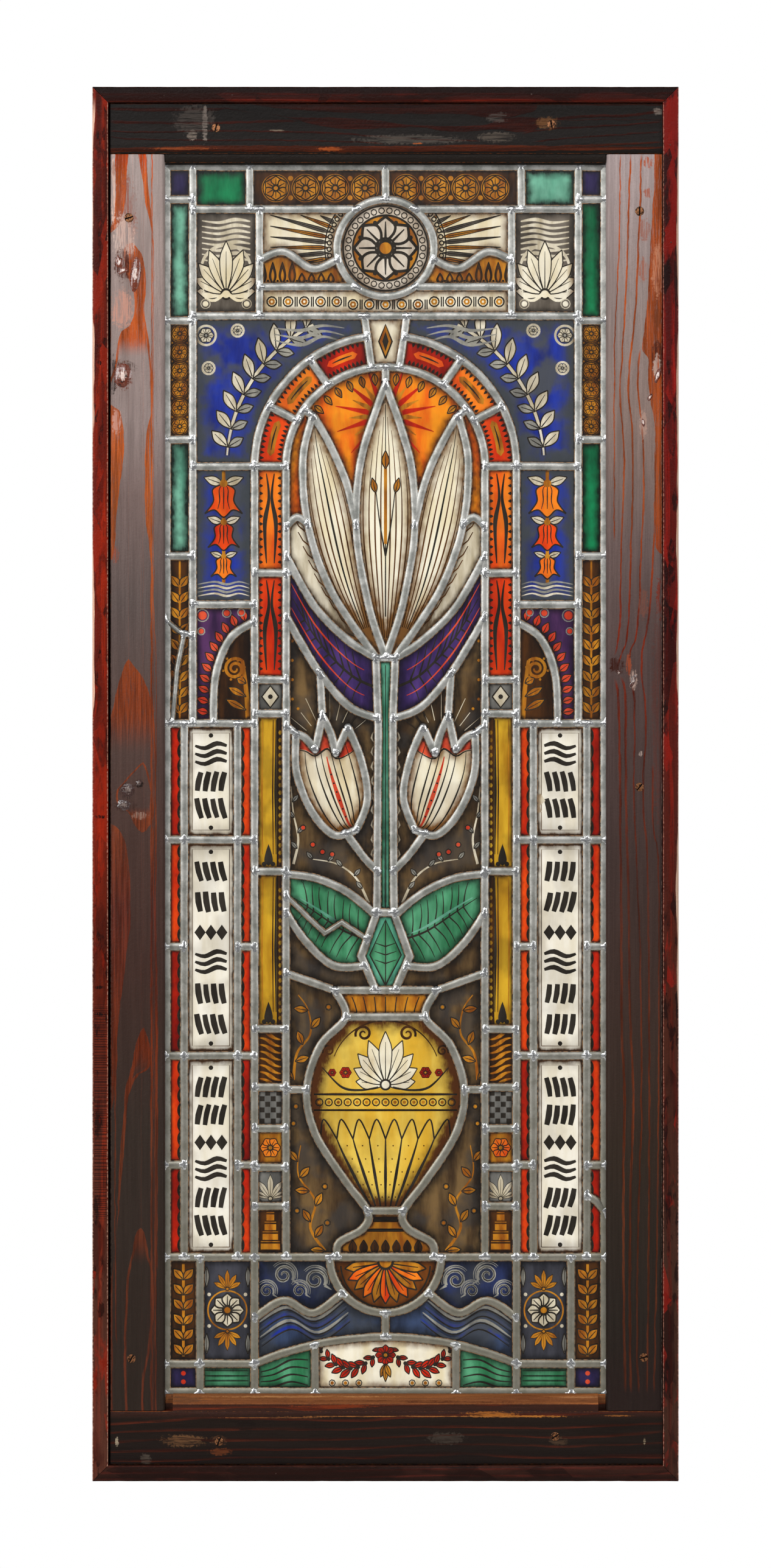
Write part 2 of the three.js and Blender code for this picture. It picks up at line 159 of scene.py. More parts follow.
def mesh_object(name, vertices, faces, materials, indices=None, sharp=40):
    mesh = bpy.data.meshes.new(name)
    mesh.from_pydata(vertices, [], faces)
    for made in materials:
        mesh.materials.append(made)
    if indices is not None:
        mesh.polygons.foreach_set("material_index", indices)
    mesh.polygons.foreach_set("use_smooth", [True] * len(mesh.polygons))
    mesh.set_sharp_from_angle(angle=math.radians(sharp))
    made = bpy.data.objects.new(name, mesh)
    bpy.context.collection.objects.link(made)
    return made


def lamp(name, place, size, power):
    light = bpy.data.lights.new(name, "AREA")
    light.shape = "RECTANGLE"
    light.size, light.size_y = size
    light.energy = power
    made = bpy.data.objects.new(name, light)
    made.location = place
    made.rotation_euler = (middle - Vector(place)).to_track_quat("-Z", "Y").to_euler()
    made.visible_camera = False
    bpy.context.collection.objects.link(made)


FLOOR_DROP = 0.45
FLOOR_RADIUS = 1.6
FLOOR_SIDES = 64
floor_paint, tree, shader = material("pale_floor", 0.8)
speckle = clouds(node("TexCoord", {}, 3, tree), 40.0)
dress(shader, mix(speckle, tint("d8d6d2"), tint("e0deda")))
turns = [math.tau * k / FLOOR_SIDES for k in range(FLOOR_SIDES)]
floor_rim = [(FLOOR_RADIUS * math.cos(turn), FLOOR_RADIUS * math.sin(turn), low.z - FLOOR_DROP)
             for turn in turns]
mesh_object("floor", floor_rim, [range(FLOOR_SIDES)], [floor_paint])

world = bpy.data.worlds.new("room")
bpy.context.scene.world = world
world.use_nodes = True
tree = world.node_tree
direction = node("TexCoord", {}, 0, tree)
behind = fade(node("SeparateXYZ", {0: direction}, 1), -0.25, 0.45)
glow = mix(behind, (0.17, 0.17, 0.18, 1), (1.12, 1.12, 1.12, 1))
seen = node("LightPath", {}, 0, tree)
tree.links.new(mix(seen, glow, (1, 1, 1, 1)), tree.nodes["Background"].inputs["Color"])

lamp("left_lamp", (-2.3, -1.9, 0.35), (0.9, 1.9), 42)
lamp("right_lamp", (2.3, -1.9, 0.25), (0.9, 1.9), 30)
lamp("overhead_lamp", (-0.5, -2.6, 1.25), (2.0, 0.8), 34)


# ---- Edging -------------------------------------------------------------------------------
# Four mitred strips of red-stained softwood nailed round the sash, worn pale on their arrises
# and bruised along the inner edge. The left one has a ladder of old saw nicks.
MM = 0.001
ORIGIN_HEIGHT = -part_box("lead_cames")[0][2] / MM - 6  # of the part's origin, over the sight line
SEED = 7
MITRE_GAP = 0.22  # at each end of a mitred length
FACE_WIDTH, FACE_LENGTH = 4.0, 7.0  # of the faces that a board is divided into


def at(x, y, forward):
    """A point of the window in metres: x across and y up from the foot of the sight opening,
    forward from the back face, in millimetres."""
    return Vector((x, -forward, y - ORIGIN_HEIGHT)) * MM


def eased(section, radius):
    """The section's points with its outer corners rounded and its long sides divided. Each is
    (inward, forward, how much it is an arris, outward direction)."""
    count = len(section)
    corners = [Vector(point) for point in section]
    area = sum(a.x * b.y - b.x * a.y for a, b in zip(corners, corners[1:] + corners[:1]))
    turn = 1 if area > 0 else -1
    made = []
    for i, corner in enumerate(corners):
        before = corners[i - 1] - corner
        after = corners[(i + 1) % count] - corner
        out = -(before.normalized() + after.normalized())
        if out.length < 0.6:
            made.append((corner, 0.0, Vector((after.y, -after.x)).normalized() * turn))
        elif (before.x * after.y - before.y * after.x) * turn < 0:
            out.normalize()
            cut = min(radius, before.length * 0.4, after.length * 0.4)
            first = corner + before.normalized() * cut
            last = corner + after.normalized() * cut
            made += [(first, 0.6, out), ((first + last) / 2 + out * cut * 0.22, 1.0, out), (last, 0.6, out)]
        else:
            made.append((corner, 0.0, out.normalized()))
    points = []
    for (start, edge, out), (end, _, _) in zip(made, made[1:] + made[:1]):
        points.append((start.x, start.y, edge, out))
        gap = end - start
        parts = math.ceil(gap.length / FACE_WIDTH)
        side = Vector((gap.y, -gap.x)).normalized() * turn
        for k in range(1, parts):
            spot = start.lerp(end, k / parts)
            points.append((spot.x, spot.y, 0.0, side))
    return points


def board(name, section, length, place, wood, mitre=0.0, wear=0.35, radius=1.1):
    """A length of wood: its section swept from end to end, with arrises knocked about."""
    points = eased(section, radius)
    rings = max(2, round(length / FACE_LENGTH))
    vertices, arris = [], []
    for i in range(rings + 1):
        along = 2 * i / rings - 1
        for inward, forward, edge, out in points:
            reach = along * (length / 2 - mitre * (inward + MITRE_GAP))
            spot = place(inward, forward, reach)
            bruise = noise.noise(spot * 160 + Vector((SEED, 0, 0)))
            hollow = 0.10 + 0.10 * noise.noise(spot * 35)
            bite = (wear * edge * max(0.0, bruise + 0.15) + 0.5 * hollow) * (abs(along) < 1)
            vertices.append(place(inward - out.x * bite, forward - out.y * bite, reach))
            arris.append(edge)
    size = len(points)
    faces = [(i * size + j, i * size + (j + 1) % size,
              (i + 1) * size + (j + 1) % size, (i + 1) * size + j)
             for i in range(rings) for j in range(size)]
    faces += [tuple(range(size))[::-1], tuple(range(rings * size, (rings + 1) * size))]
    a, b, c = (vertices[faces[0][k]] for k in (0, 1, 2))
    centre = sum((vertices[k] for k in range(size)), Vector()) / size
    if (b - a).cross(c - b).dot(a - centre) < 0:
        faces = [face[::-1] for face in faces]
    made = mesh_object(name, vertices, faces, [wood], sharp=50)
    made.data.attributes.new("arris", "FLOAT", "POINT").data.foreach_set("value", arris)
    return made


def in_millimetres(tree):
    """The spot that is being shaded, in millimetres."""
    return node("VectorMath", {0: node("TexCoord", {}, 3, tree), "Scale": 1000.0}, operation="SCALE")


def scaled(place, *factors):
    return node("VectorMath", {0: place, 1: factors}, operation="MULTIPLY")


def drawn_out(across, depth, run, share):
    """A spot whose way along the board is cut to a share, so that clouds lie drawn out on it."""
    return node("CombineXYZ", {0: across, 1: depth, 2: times(run, share)})


def measured(tree, name):
    """What the mesh's points carry under that name."""
    return node("Attribute", {}, 2, tree, attribute_name=name)


def stops(value, colours):
    """A colour that changes along value, from [(value, code), ...] in rising order."""
    start, end = colours[0][0], colours[-1][0]
    ramp = node("ValToRGB", {0: node("MapRange", {0: value, 1: start, 2: end})})
    elements = ramp.node.color_ramp.elements
    for place, code in colours[1:-1]:
        elements.new((place - start) / (end - start)).color = tint(code)
    elements[0].color, elements[-1].color = tint(colours[0][1]), tint(colours[-1][1])
    return ramp


def straight(spacing, pith, lean, drift=0.5, soft=0.4, sharp=0.08):
    """Late wood as lines nearly along the board, round a pith off to one side of it. Each line
    starts sharp and fades over soft of a ring."""
    def late(across, depth, run):
        offsets = [minus(minus(value, start), times(run, slope))
                   for value, start, slope in ((across, pith[0], lean[0]), (depth, pith[1], lean[1]))]
        radius = maths("SQRT", plus(*(times(v, v) for v in offsets)))
        spot = drawn_out(across, depth, run, 0.16)
        wander = times(minus(clouds(spot, 0.03, 3.0), 0.5), 4 * drift)
        phase = maths("FRACT", plus(maths("DIVIDE", radius, spacing), wander))
        strong = fade(clouds(spot, 0.06), 0.3, 0.6)
        line = times(fade(phase, soft, sharp), fade(phase, 0.0, sharp * 0.6))
        return times(line, plus(times(strong, 0.7), 0.3))
    return late


def course(run, points):
    """A drawn edge of the grain: how far across it lies along the board, from its
    (along, across) points."""
    start, end = points[0][0], points[-1][0]
    low_side, high_side = min(p[1] for p in points), max(p[1] for p in points)
    edge = node("FloatCurve", {1: node("MapRange", {0: run, 1: start, 2: end})})
    drawn_points = edge.node.mapping.curves[0].points
    shares = [((along - start) / (end - start), (across - low_side) / (high_side - low_side))
              for along, across in points]
    drawn_points[0].location, drawn_points[-1].location = shares[0], shares[-1]
    for share in shares[1:-1]:
        drawn_points.new(*share)
    edge.node.mapping.update()
    return node("MapRange", {0: edge, 3: low_side, 4: high_side})


def drawn(lines, bands):
    """Late wood drawn by its courses. A line is (half its width, centre points). A band is (its
    two edges' points, where its fill is gone and where it is whole, the width of its rims)."""
    def late(across, depth, run):
        spot = drawn_out(across, depth, run, 0.4)
        wobble = times(minus(clouds(spot, 0.12, 4.0, 0.6), 0.5), 3.0)
        slant = times(plus(depth, SASH_DEPTH), 0.25)
        spread = plus(across, wobble, slant)
        shapes = []
        for half, points in lines:
            off = maths("ABSOLUTE", minus(spread, course(run, points)))
            span = times(fade(run, points[0][0], points[0][0] + 9),
                         fade(run, points[-1][0], points[-1][0] - 9))
            shapes.append(times(fade(off, half + 0.35, half - 0.2), span))
        for first, last, gone, whole, rim in bands:
            near = maths("MINIMUM", minus(spread, course(run, first)),
                         minus(course(run, last), spread))
            empty = times(fade(near, rim, rim + 0.9), fade(run, whole, gone))
            shapes.append(minus(fade(near, -0.2, 0.3), empty))
        total = shapes[0]
        for shape in shapes[1:]:
            total = maths("MAXIMUM", total, shape)
        return total
    return late


def patch(across, run, place, mark):
    """1 in a patch with an uneven edge, 0 outside it."""
    parts = [maths("DIVIDE", minus(value, middle_at), half)
             for value, middle_at, half in zip((across, run), mark[:2], mark[2:4])]
    reach = maths("SQRT", plus(*(times(v, v) for v in parts)))
    uneven = times(minus(clouds(place, 0.4, 4.0, 0.7), 0.5), 2.0)
    return fade(plus(reach, uneven), 1.15, 0.7)


def pine(name, along, ground, line, grain, worn, worn_amount=0.8, deep="1d1210", gloss=0.32, mottle=(),
         marks=(), nicks=None, bare=None, fleck=0.5, shine=0.08):
    """Stained pine, in the window's millimetres. The colours of its early and late wood change
    with height, [(height, code), ...]. Marks are (across, along, half sizes, code, strength)."""
    made, tree, shader = material(name, gloss, Specular_IOR_Level=shine)
    place = in_millimetres(tree)
    x, depth, z = (node("SeparateXYZ", {0: place}, k) for k in range(3))
    y = plus(z, ORIGIN_HEIGHT)
    run, across = (y, x) if along == "Z" else (x, y)
    slow = drawn_out(across, depth, run, 0.12)
    late = grain(across, depth, run)
    fine = drawn_out(across, depth, run, 0.06)
    fibre = clouds(fine, 1.3, 5.0, 0.7)
    grit = clouds(place, 1.1, 3.0, 0.7)
    long = drawn_out(across, depth, run, 0.03)
    tone = fade(clouds(long, 0.5, 4.0, 0.65), 0.36, 0.64)
    early, dense = (node("VectorMath", {
        0: stops(y, codes), "Scale": plus(times(tone, spread), 1 - spread / 2)}, operation="SCALE")
        for codes, spread in ((ground, 0.2), (line, 0.8)))
    colour = mix(times(late, fade(fibre, 0.78, 0.50)), early, dense)
    shading = plus(times(fade(fibre, 0.46, 0.72), fleck * 0.8),
                   times(fade(grit, 0.48, 0.72), fleck * 0.5))
    stain = times(fade(clouds(slow, 0.03, 4.0, 0.6), 0.48, 0.70), 0.35)
    colour = mix(maths("MAXIMUM", shading, stain), colour, tint(deep))
    for size, share, code, strength in mottle:
        wide = drawn_out(across, depth, run, 0.3)
        cells = node("TexVoronoi", {"Vector": wide, "Scale": 1 / size, "Detail": 1.0}, 1)
        blot = plus(times(node("SeparateColor", {0: cells}), 0.2), clouds(wide, 0.5 / size, 4.0, 0.7))
        cover = times(fade(blot, 0.68 - share, 0.78 - share), strength)
        colour = mix(cover, colour, tint(code))
    for mark in marks:
        broken = fade(clouds(fine, 0.9, 3.0, 0.7), 0.36, 0.56)
        cover = times(patch(across, run, place, mark), broken, mark[5])
        colour = mix(cover, colour, tint(mark[4]))
    dents = clouds(place, 0.42, 3.0, 0.6)
    arris = measured(tree, "arris")
    rubbed = times(fade(plus(arris, dents), 1.30, 1.52), worn_amount)
    colour = mix(rubbed, colour, tint(worn))
    if bare:
        edge, width, foot, head, code = bare
        wide = times(minus(clouds(slow, 0.11, 3.0), 0.36), 6 * width)
        reach = maths("ABSOLUTE", minus(across, edge))
        stretch = times(fade(y, foot, foot + 40), fade(y, head, head - 20),
                        fade(depth, -SASH_DEPTH - 0.5, -SASH_DEPTH - 2.5))
        cover = times(fade(minus(wide, reach), -0.3, 0.3), stretch)
        colour = mix(cover, colour, tint(code))
    height = plus(times(fibre, 0.8), times(late, 0.5))
    if nicks:
        inner, outer, foot, head = nicks
        beat = node("TexVoronoi", {"W": maths("DIVIDE", y, 9.0), "Randomness": 0.9}, 0,
                    voronoi_dimensions="1D")
        sides = times(fade(across, inner, inner + 1.2), fade(across, outer, outer - 1))
        stretch = times(fade(y, foot, foot + 10), fade(y, head, head - 10))
        cut = times(fade(beat, 0.20, 0.12), sides, stretch)
        colour = mix(times(cut, 0.8), colour, tint("170b08"))
        height = minus(height, cut)
    height = plus(height, times(fade(dents, 0.62, 0.42), 0.6))
    dress(shader, colour, plus(times(fibre, 0.3), gloss - 0.1), height, 0.45, 0.0004)
    return made


SASH_DEPTH = 33.0
EDGING_WIDTH = 13.0
EDGING_DEPTH = 36.0
edging_section = [(0, 0), (EDGING_WIDTH, 0), (EDGING_WIDTH, EDGING_DEPTH), (0, EDGING_DEPTH)]
outer_left, outer_right = low.x / MM, high.x / MM
outer_foot, outer_head = low.z / MM + ORIGIN_HEIGHT, high.z / MM + ORIGIN_HEIGHT
mid_height = (outer_foot + outer_head) / 2

bars = [(-235, y, 4.6, 1.5, "1c0d0a", 1.0) for y in (475, 335, 313)]
bars += [(-235, y, 1.8, 1.8, "1c0d0a", 1.0) for y in (862, 848)]
edging_left_wood = pine(
    "red_edging_left", "Z",
    [(-70, "5a3226"), (100, "563024"), (350, "66200f"), (650, "6c1a0d"), (1070, "54180e")],
    [(-70, "682a1c"), (200, "7e2a16"), (500, "8e240e"), (900, "94260c"), (1070, "80200c")],
    straight(7.5, (outer_left - 4, -60), (0.004, 0.02), soft=0.6, sharp=0.25), worn="e8b89c",
    mottle=((22, 0.0, "34110b", 0.6), (6, -0.02, "1a0b08", 0.8), (12, -0.02, "a8280f", 0.5)),
    fleck=0.35, marks=bars,
    nicks=(outer_left + 1.0, outer_left + 12.6, 140, 325), bare=(outer_left, 1.5, 520, 1068, "e6b69c"))
edging_right_wood = pine(
    "red_edging_right", "Z",
    [(-70, "462a20"), (100, "442a20"), (300, "4a2419"), (650, "5c150f"), (1070, "4a1414")],
    [(-70, "4a1e16"), (200, "501f16"), (420, "661b10"), (700, "861810"), (1070, "761812")],
    straight(8.0, (outer_right + 30, -70), (-0.006, 0.02), soft=0.6, sharp=0.25), worn="c88e78", fleck=0.4,
    mottle=((26, 0.02, "220c0a", 0.75), (7, -0.02, "180b0a", 0.8), (12, -0.03, "9c1c12", 0.5)),
    bare=(outer_right, 1.3, 300, 1030, "bd9c86"))
edging_level_wood = pine(
    "red_edging_level", "X", [(-71, "1c0f0b"), (-64, "381f18"), (0, "381f18"), (1062, "44160e"),
                              (1071, "221210"), (1074, "140c0c")],
    [(-71, "35140e"), (-64, "4e2018"), (1062, "6c1c0e"), (1070, "35100a"), (1074, "1e0d0c")],
    straight(5.5, (1100, -50), (0.01, 0.02), soft=0.5, sharp=0.2), worn="6a3424", worn_amount=0.4,
    mottle=((24, 0.10, "1a0e0b", 0.7),), fleck=0.4)


def upright(x, inward):
    """Puts a section on a vertical piece whose outer face is at x."""
    return lambda u, forward, along: at(x + inward * u, mid_height + along, forward)


def level(y, inward):
    return lambda u, forward, along: at(along, y + inward * u, forward)


whole_height, whole_width = outer_head - outer_foot, outer_right - outer_left
for side, length, place, wood in (
        ("left", whole_height, upright(outer_left, 1), edging_left_wood),
        ("right", whole_height, upright(outer_right, -1), edging_right_wood),
        ("top", whole_width, level(outer_head, -1), edging_level_wood),
        ("bottom", whole_width, level(outer_foot, 1), edging_level_wood)):
    strip = board(f"edging_{side}_strip", edging_section, length, place, wood, mitre=1.0)
    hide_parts(f"edging_{side}")
    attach(strip, "root")


# ---- Sash ---------------------------------------------------------------------------------
# Two stiles butted between two rails, in resinous pine stained dark; a painted sheen lightens
# the stiles towards the top. The stiles are rounded over towards the glass, the top rail has a
# stepped lip and the bottom rail a bevelled sill, and all four are rebated behind.
GAP = 0.3
SASH_WEAR = 0.3
REBATE_WIDTH = 6.5
REBATE_DEPTH = 25.0
LAP = 1.0
SILL_SHORTENED = 6.5  # the sill's nose stops this far from the stiles


def node_span(name):
    """A node's box as (left, right, foot, head) in the window's millimetres."""
    (x0, _, z0), (x1, _, z1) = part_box(name)
    return x0 / MM, x1 / MM, z0 / MM + ORIGIN_HEIGHT, z1 / MM + ORIGIN_HEIGHT


def stile_section(width):
    return [(0, REBATE_DEPTH), (REBATE_WIDTH, REBATE_DEPTH), (REBATE_WIDTH, 0), (width, 0),
            (width, SASH_DEPTH), (4.2, SASH_DEPTH), (2.6, SASH_DEPTH - 0.2),
            (1.3, SASH_DEPTH - 0.9), (0.4, SASH_DEPTH - 2.2), (0, SASH_DEPTH - 4.2)]


off_left, off_right = -232.0, 236.0  # beyond the stiles' outer edges
# The stile's colours lighten and turn mauve-grey towards the top: painted sheen over its stain and grain. The
# pale pinkish marks are painted sheen too; the others are knots and stains.
stile_left_wood = pine(
    "flame_stile_left", "Z",
    [(0, "2f2620"), (220, "372d27"), (350, "432f29"), (450, "4b3731"), (550, "57443e"), (650, "615450"),
     (740, "7a6762"), (800, "968580"), (900, "a08d86"), (1015, "ac9b95")],
    [(0, "57291a"), (200, "602f1c"), (290, "682a14"), (400, "5c2a1f"), (470, "74371f"), (580, "80391c"),
     (730, "aa5526"), (870, "b0501f"), (1000, "bc561e"), (1015, "b84614")],
    drawn(lines=(
        (0.6, [(100, -188), (270, -188), (340, -188.4), (400, -190), (430, -191), (470, -190.2)]),
        (0.4, [(40, -221), (200, -222.5), (330, -219)])), bands=(
        ([(955, off_left), (960, -226), (980, -222.5), (1022, -222)],
         [(955, -226), (980, -214), (1000, -213), (1022, -211.5)], 900, 901, 1),
        ([(940, -190.9), (965, -194), (980, -197.5), (1000, -200), (1022, -204)],
         [(940, -190.4), (965, -191.8), (980, -193.5), (1000, -195.5), (1022, -197)], 900, 901, 1),
        ([(830, -228), (850, -222.5), (865, -220.5), (873, -218), (880, -210), (892, -206.5), (905, -207),
          (925, -214), (940, -215), (947, -208)],
         [(830, -191.5), (865, -194.5), (880, -197), (890, -198.5), (910, -197), (925, -197.5), (935, -199.5),
          (942, -203.5), (947, -208)], 852, 870, 1.3),
        ([(600, -189), (660, -191.8), (700, -194.5), (725, -197.5), (765, -197.8), (785, -197), (800, -194.5),
          (820, -192), (840, -192.5)],
         [(600, -188.4), (660, -190.8), (725, -193.2), (765, -194), (800, -193), (820, -191), (840, -191.5)],
         500, 501, 1),
        ([(685, off_left), (815, off_left - 1)],
         [(685, -226), (700, -222.5), (725, -221), (745, -218.5), (780, -215), (804, -217), (812, -223),
          (815, off_left)], 600, 601, 1),
        ([(510, off_left), (550, -228), (565, -224), (582, -220), (596, -216), (605, -211.5)],
         [(510, -188.5), (540, -189.5), (560, -190.5), (572, -193), (583, -196.5), (592, -201), (598, -206),
          (605, -211.5)], 525, 562, 0.8),
        ([(462, -200.5), (468, -206), (478, -211), (490, -222), (505, -214), (513, -207), (520, -199.5)],
         [(462, -200.5), (467, -194.5), (478, -190.5), (490, -191), (505, -193.5), (515, -196.5),
          (520, -199.5)], 484, 474, 1.2),
        ([(230, off_left), (470, off_left - 1)],
         [(230, -227), (255, -222), (300, -220), (340, -215.5), (370, -212), (400, -209.5), (430, -210.5),
          (450, -213), (470, off_left)], 100, 101, 1),
        ([(95, -226), (120, -222), (160, -220), (190, -219), (230, -215.5), (250, -214), (262, -211),
          (275, -207.5), (287, -205.5), (295, -203), (302, -199)],
         [(95, -224.5), (160, -218.5), (210, -214.3), (240, -212), (255, -208), (263, -203), (275, -192),
          (285, -193.3), (295, -196), (302, -199)], 255, 285, 2.5),
        ([(-10, -214), (20, -215.2), (50, -215), (80, -213.5), (98, -212.3), (118, -208.5), (130, -206),
          (137, -201)],
         [(-10, -199), (10, -198.5), (28, -195.5), (45, -193), (72, -190.3), (90, -190), (115, -195),
          (128, -197), (137, -201)], 106, 130, 1.5))),
    worn="a88a78", worn_amount=0.5, deep="3a2620", fleck=0.28, shine=0.1, marks=(
        (-213, 968, 8, 34, "96503c", 0.7), (-215, 950, 9, 20, "dcc0b2", 0.7),
        (-224, 990, 2.2, 28, "e2bcaa", 0.9), (-217, 893, 9, 16, "cc9480", 0.85),
        (-221, 800, 4, 10, "d0a090", 0.7), (-206, 868, 6, 6, "b8542a", 0.6),
        (-214, 845, 9, 5, "4a3832", 0.8), (-224, 838, 3, 16, "241814", 0.9),
        (-216, 929, 7.5, 13, "4e2318", 1.0), (-205.5, 922, 4.5, 17, "8c452a", 0.9),
        (-216, 838, 7.5, 11, "6e3420", 1.0), (-222, 690, 3, 7, "9a4a30", 0.7),
        (-212.5, 496, 6.5, 6.5, "2c211e", 1.0), (-214, 484, 9, 5, "3a2620", 0.9),
        (-203, 502, 4, 3.4, "1c120f", 1.0), (-202, 476, 6, 3, "b09484", 0.5),
        (-223, 1008, 2, 6, "8a4a30", 0.6)))
area_left = [(690, 231), (700, 222), (765, 222.5), (800, 220.5), (820, 217.5), (838, 216), (850, 216.5),
             (861, 211), (875, 212.5), (900, 215.5), (940, 217.5), (980, 220), (1022, 221.5)]
# As on the left, the colours lighten towards the top as painted sheen, and the pale greyish-pink marks, most
# of them on the knots, are painted glare.
stile_right_wood = pine(
    "straight_stile_right", "Z",
    [(0, "291f1c"), (60, "29231e"), (200, "342a22"), (330, "40302a"), (440, "443531"), (600, "554441"),
     (700, "6c5a56"), (800, "8c776e"), (900, "978680"), (1015, "ad9c99")],
    [(0, "4c2416"), (100, "542a18"), (240, "602c17"), (400, "4f271b"), (520, "5e2618"), (640, "74240f"),
     (740, "8e431f"), (900, "a54a1a"), (1015, "aa4c1c")],
    drawn(lines=(
        (0.4, [(700, 188.2), (860, 188.5), (900, 190), (960, 192.5), (1022, 193)]),
        (0.6, [(606, 187), (620, 191), (640, 193), (700, 194), (740, 195.5), (770, 196.3), (800, 194.3),
               (820, 193), (850, 194.5), (900, 197.5), (940, 199), (1022, 201.5)]),
        (0.65, [(596, 189.5), (610, 194.5), (625, 199), (640, 200), (700, 202), (760, 203.5), (790, 203),
                (830, 200), (850, 201), (880, 204.5), (940, 208), (1022, 210.5)]),
        (0.65, [(588, 200.5), (605, 200.5), (620, 205.5), (640, 208), (700, 210.5), (750, 212.5),
                (790, 211.5), (810, 209.5), (830, 207.5), (845, 208), (862, 211)]),
        (0.7, [(0, 215), (240, 217), (400, 216), (450, 215), (500, 212), (550, 214), (590, 211), (600, 210.5),
               (615, 212), (630, 215), (660, 218.5), (700, 220.5), (740, 222), (780, 222)]),
        (0.6, [(0, 208.5), (60, 207), (180, 209), (240, 210.5), (350, 209.5), (450, 206), (500, 204.5),
               (560, 205), (588, 200)]),
        (0.9, [(0, 202), (60, 201), (180, 202), (240, 204), (300, 201.5), (400, 200), (450, 199),
               (500, 197.5), (565, 197.5), (592, 191)]),
        (0.9, [(0, 197.5), (180, 195.5), (240, 196.5), (300, 194.5), (500, 193), (560, 192), (590, 187)]),
        (0.6, [(0, 221), (60, 222), (180, 224), (400, 225), (450, 223.5), (480, 219.5), (520, 220)])),
        bands=((area_left, [(690, off_right), (1022, off_right + 1)], 600, 601, 1),)),
    worn="d8bfae", worn_amount=0.7, deep="382620", fleck=0.28, shine=0.1, marks=(
        (216, 1013, 4, 5, "b04e20", 0.9), (216, 988, 4, 4, "a44a24", 0.8), (213, 958, 5, 9, "9a5640", 0.7),
        (212, 925, 4, 10, "a25a40", 0.7), (224, 925, 5, 22, "c08060", 0.8),
        (224, 852, 6, 15, "4a2216", 0.9), (224, 885, 5, 8, "6a3820", 0.6), (223, 845, 3, 10, "d4b8a8", 0.7),
        (226, 655, 3.5, 16, "7c2812", 0.9), (212, 650, 4, 12, "7a4a3c", 0.7),
        (212, 797, 3, 12, "b89484", 0.7), (190, 600, 6, 7, "3c1c14", 1.0), (204, 588, 3, 8, "b4988a", 0.9),
        (200, 600, 2.4, 8, "9a4a2c", 0.8), (225, 560, 6, 90, "5e322a", 0.5),
        (210, 527, 2, 2, "a8948a", 0.8)))
rail_top_wood = pine(
    "dark_rail_top", "X",
    [(1013, "1d1915"), (1016, "241e1a"), (1022, "1b1714"), (1030, "24201e"), (1060, "1e1b19"),
     (1063, "1a1816")],
    [(1013, "42200f"), (1022, "431b0c"), (1027, "4c1e0c"), (1030, "2f110b"), (1045, "33110a"),
     (1062, "290e08")],
    drawn(lines=(
        (0.8, [(-230, 1058.5), (-200, 1056), (-160, 1056), (-130, 1058)]),
        (0.9, [(-230, 1047), (-180, 1045.5), (-120, 1046), (-70, 1048)]),
        (0.6, [(-230, 1040), (-200, 1038), (-150, 1039), (-60, 1038), (0, 1034), (60, 1031), (80, 1030.5)]),
        (0.5, [(-230, 1035), (-190, 1032), (-120, 1031.5), (-60, 1031), (0, 1028.5)]),
        (1.0, [(125, 1042), (150, 1050), (200, 1052), (230, 1057)]),
        (0.6, [(110, 1036), (140, 1041), (180, 1043), (230, 1047)]),
        (0.5, [(120, 1030), (150, 1033), (190, 1036), (230, 1038)]),
        (0.7, [(140, 1026.5), (180, 1027.5), (230, 1030)])), bands=(
        ([(-232, 1021.5), (-150, 1022), (-30, 1021.5), (60, 1022), (170, 1023), (232, 1025)],
         [(-232, 1025), (-180, 1026), (-140, 1027), (-90, 1027), (0, 1026.5), (90, 1027.5), (180, 1026),
          (232, 1026)], -900, -800, 1),
        ([(-130, 1057), (-80, 1050), (-60, 1044.5), (-25, 1040.5), (20, 1042), (60, 1038.5), (90, 1040),
          (112, 1038), (126, 1042), (140, 1048)],
         [(-130, 1058), (-90, 1052), (-70, 1050), (-40, 1050), (0, 1046.5), (40, 1043), (80, 1044),
          (100, 1050), (120, 1050), (140, 1048.5)], -900, -800, 1),
        ([(-110, 1061), (-80, 1057), (0, 1053), (60, 1053), (90, 1050), (110, 1052), (125, 1060)],
         [(-110, 1062), (-60, 1061.5), (100, 1061), (125, 1061)], -900, -800, 1))),
    worn="8a4c24", worn_amount=0.4, deep="0c0908", fleck=0.45, shine=0.08, marks=(
        (1045, -148.5, 15, 2.2, "8f8278", 0.8), (1035.5, -159, 4, 4.5, "8a7c70", 0.8),
        (1048, -158, 12, 16, "4e4640", 0.6), (1032, 20, 4, 45, "5c544c", 0.6),
        (1034, 92, 4, 16, "5c5248", 0.7), (1050, 92, 4, 9, "544c46", 0.6),
        (1045.5, 133, 5, 9, "6e4a2c", 0.8), (1024, -45, 1.6, 10, "a85020", 0.8),
        (1024.5, -168, 1.2, 26, "8e4420", 0.8), (1039.5, -89, 0.7, 6, "94826e", 0.8),
        (1055, 224, 3, 4, "8c7f74", 0.7), (1028.5, 27, 0.8, 4, "b05a28", 0.9)))
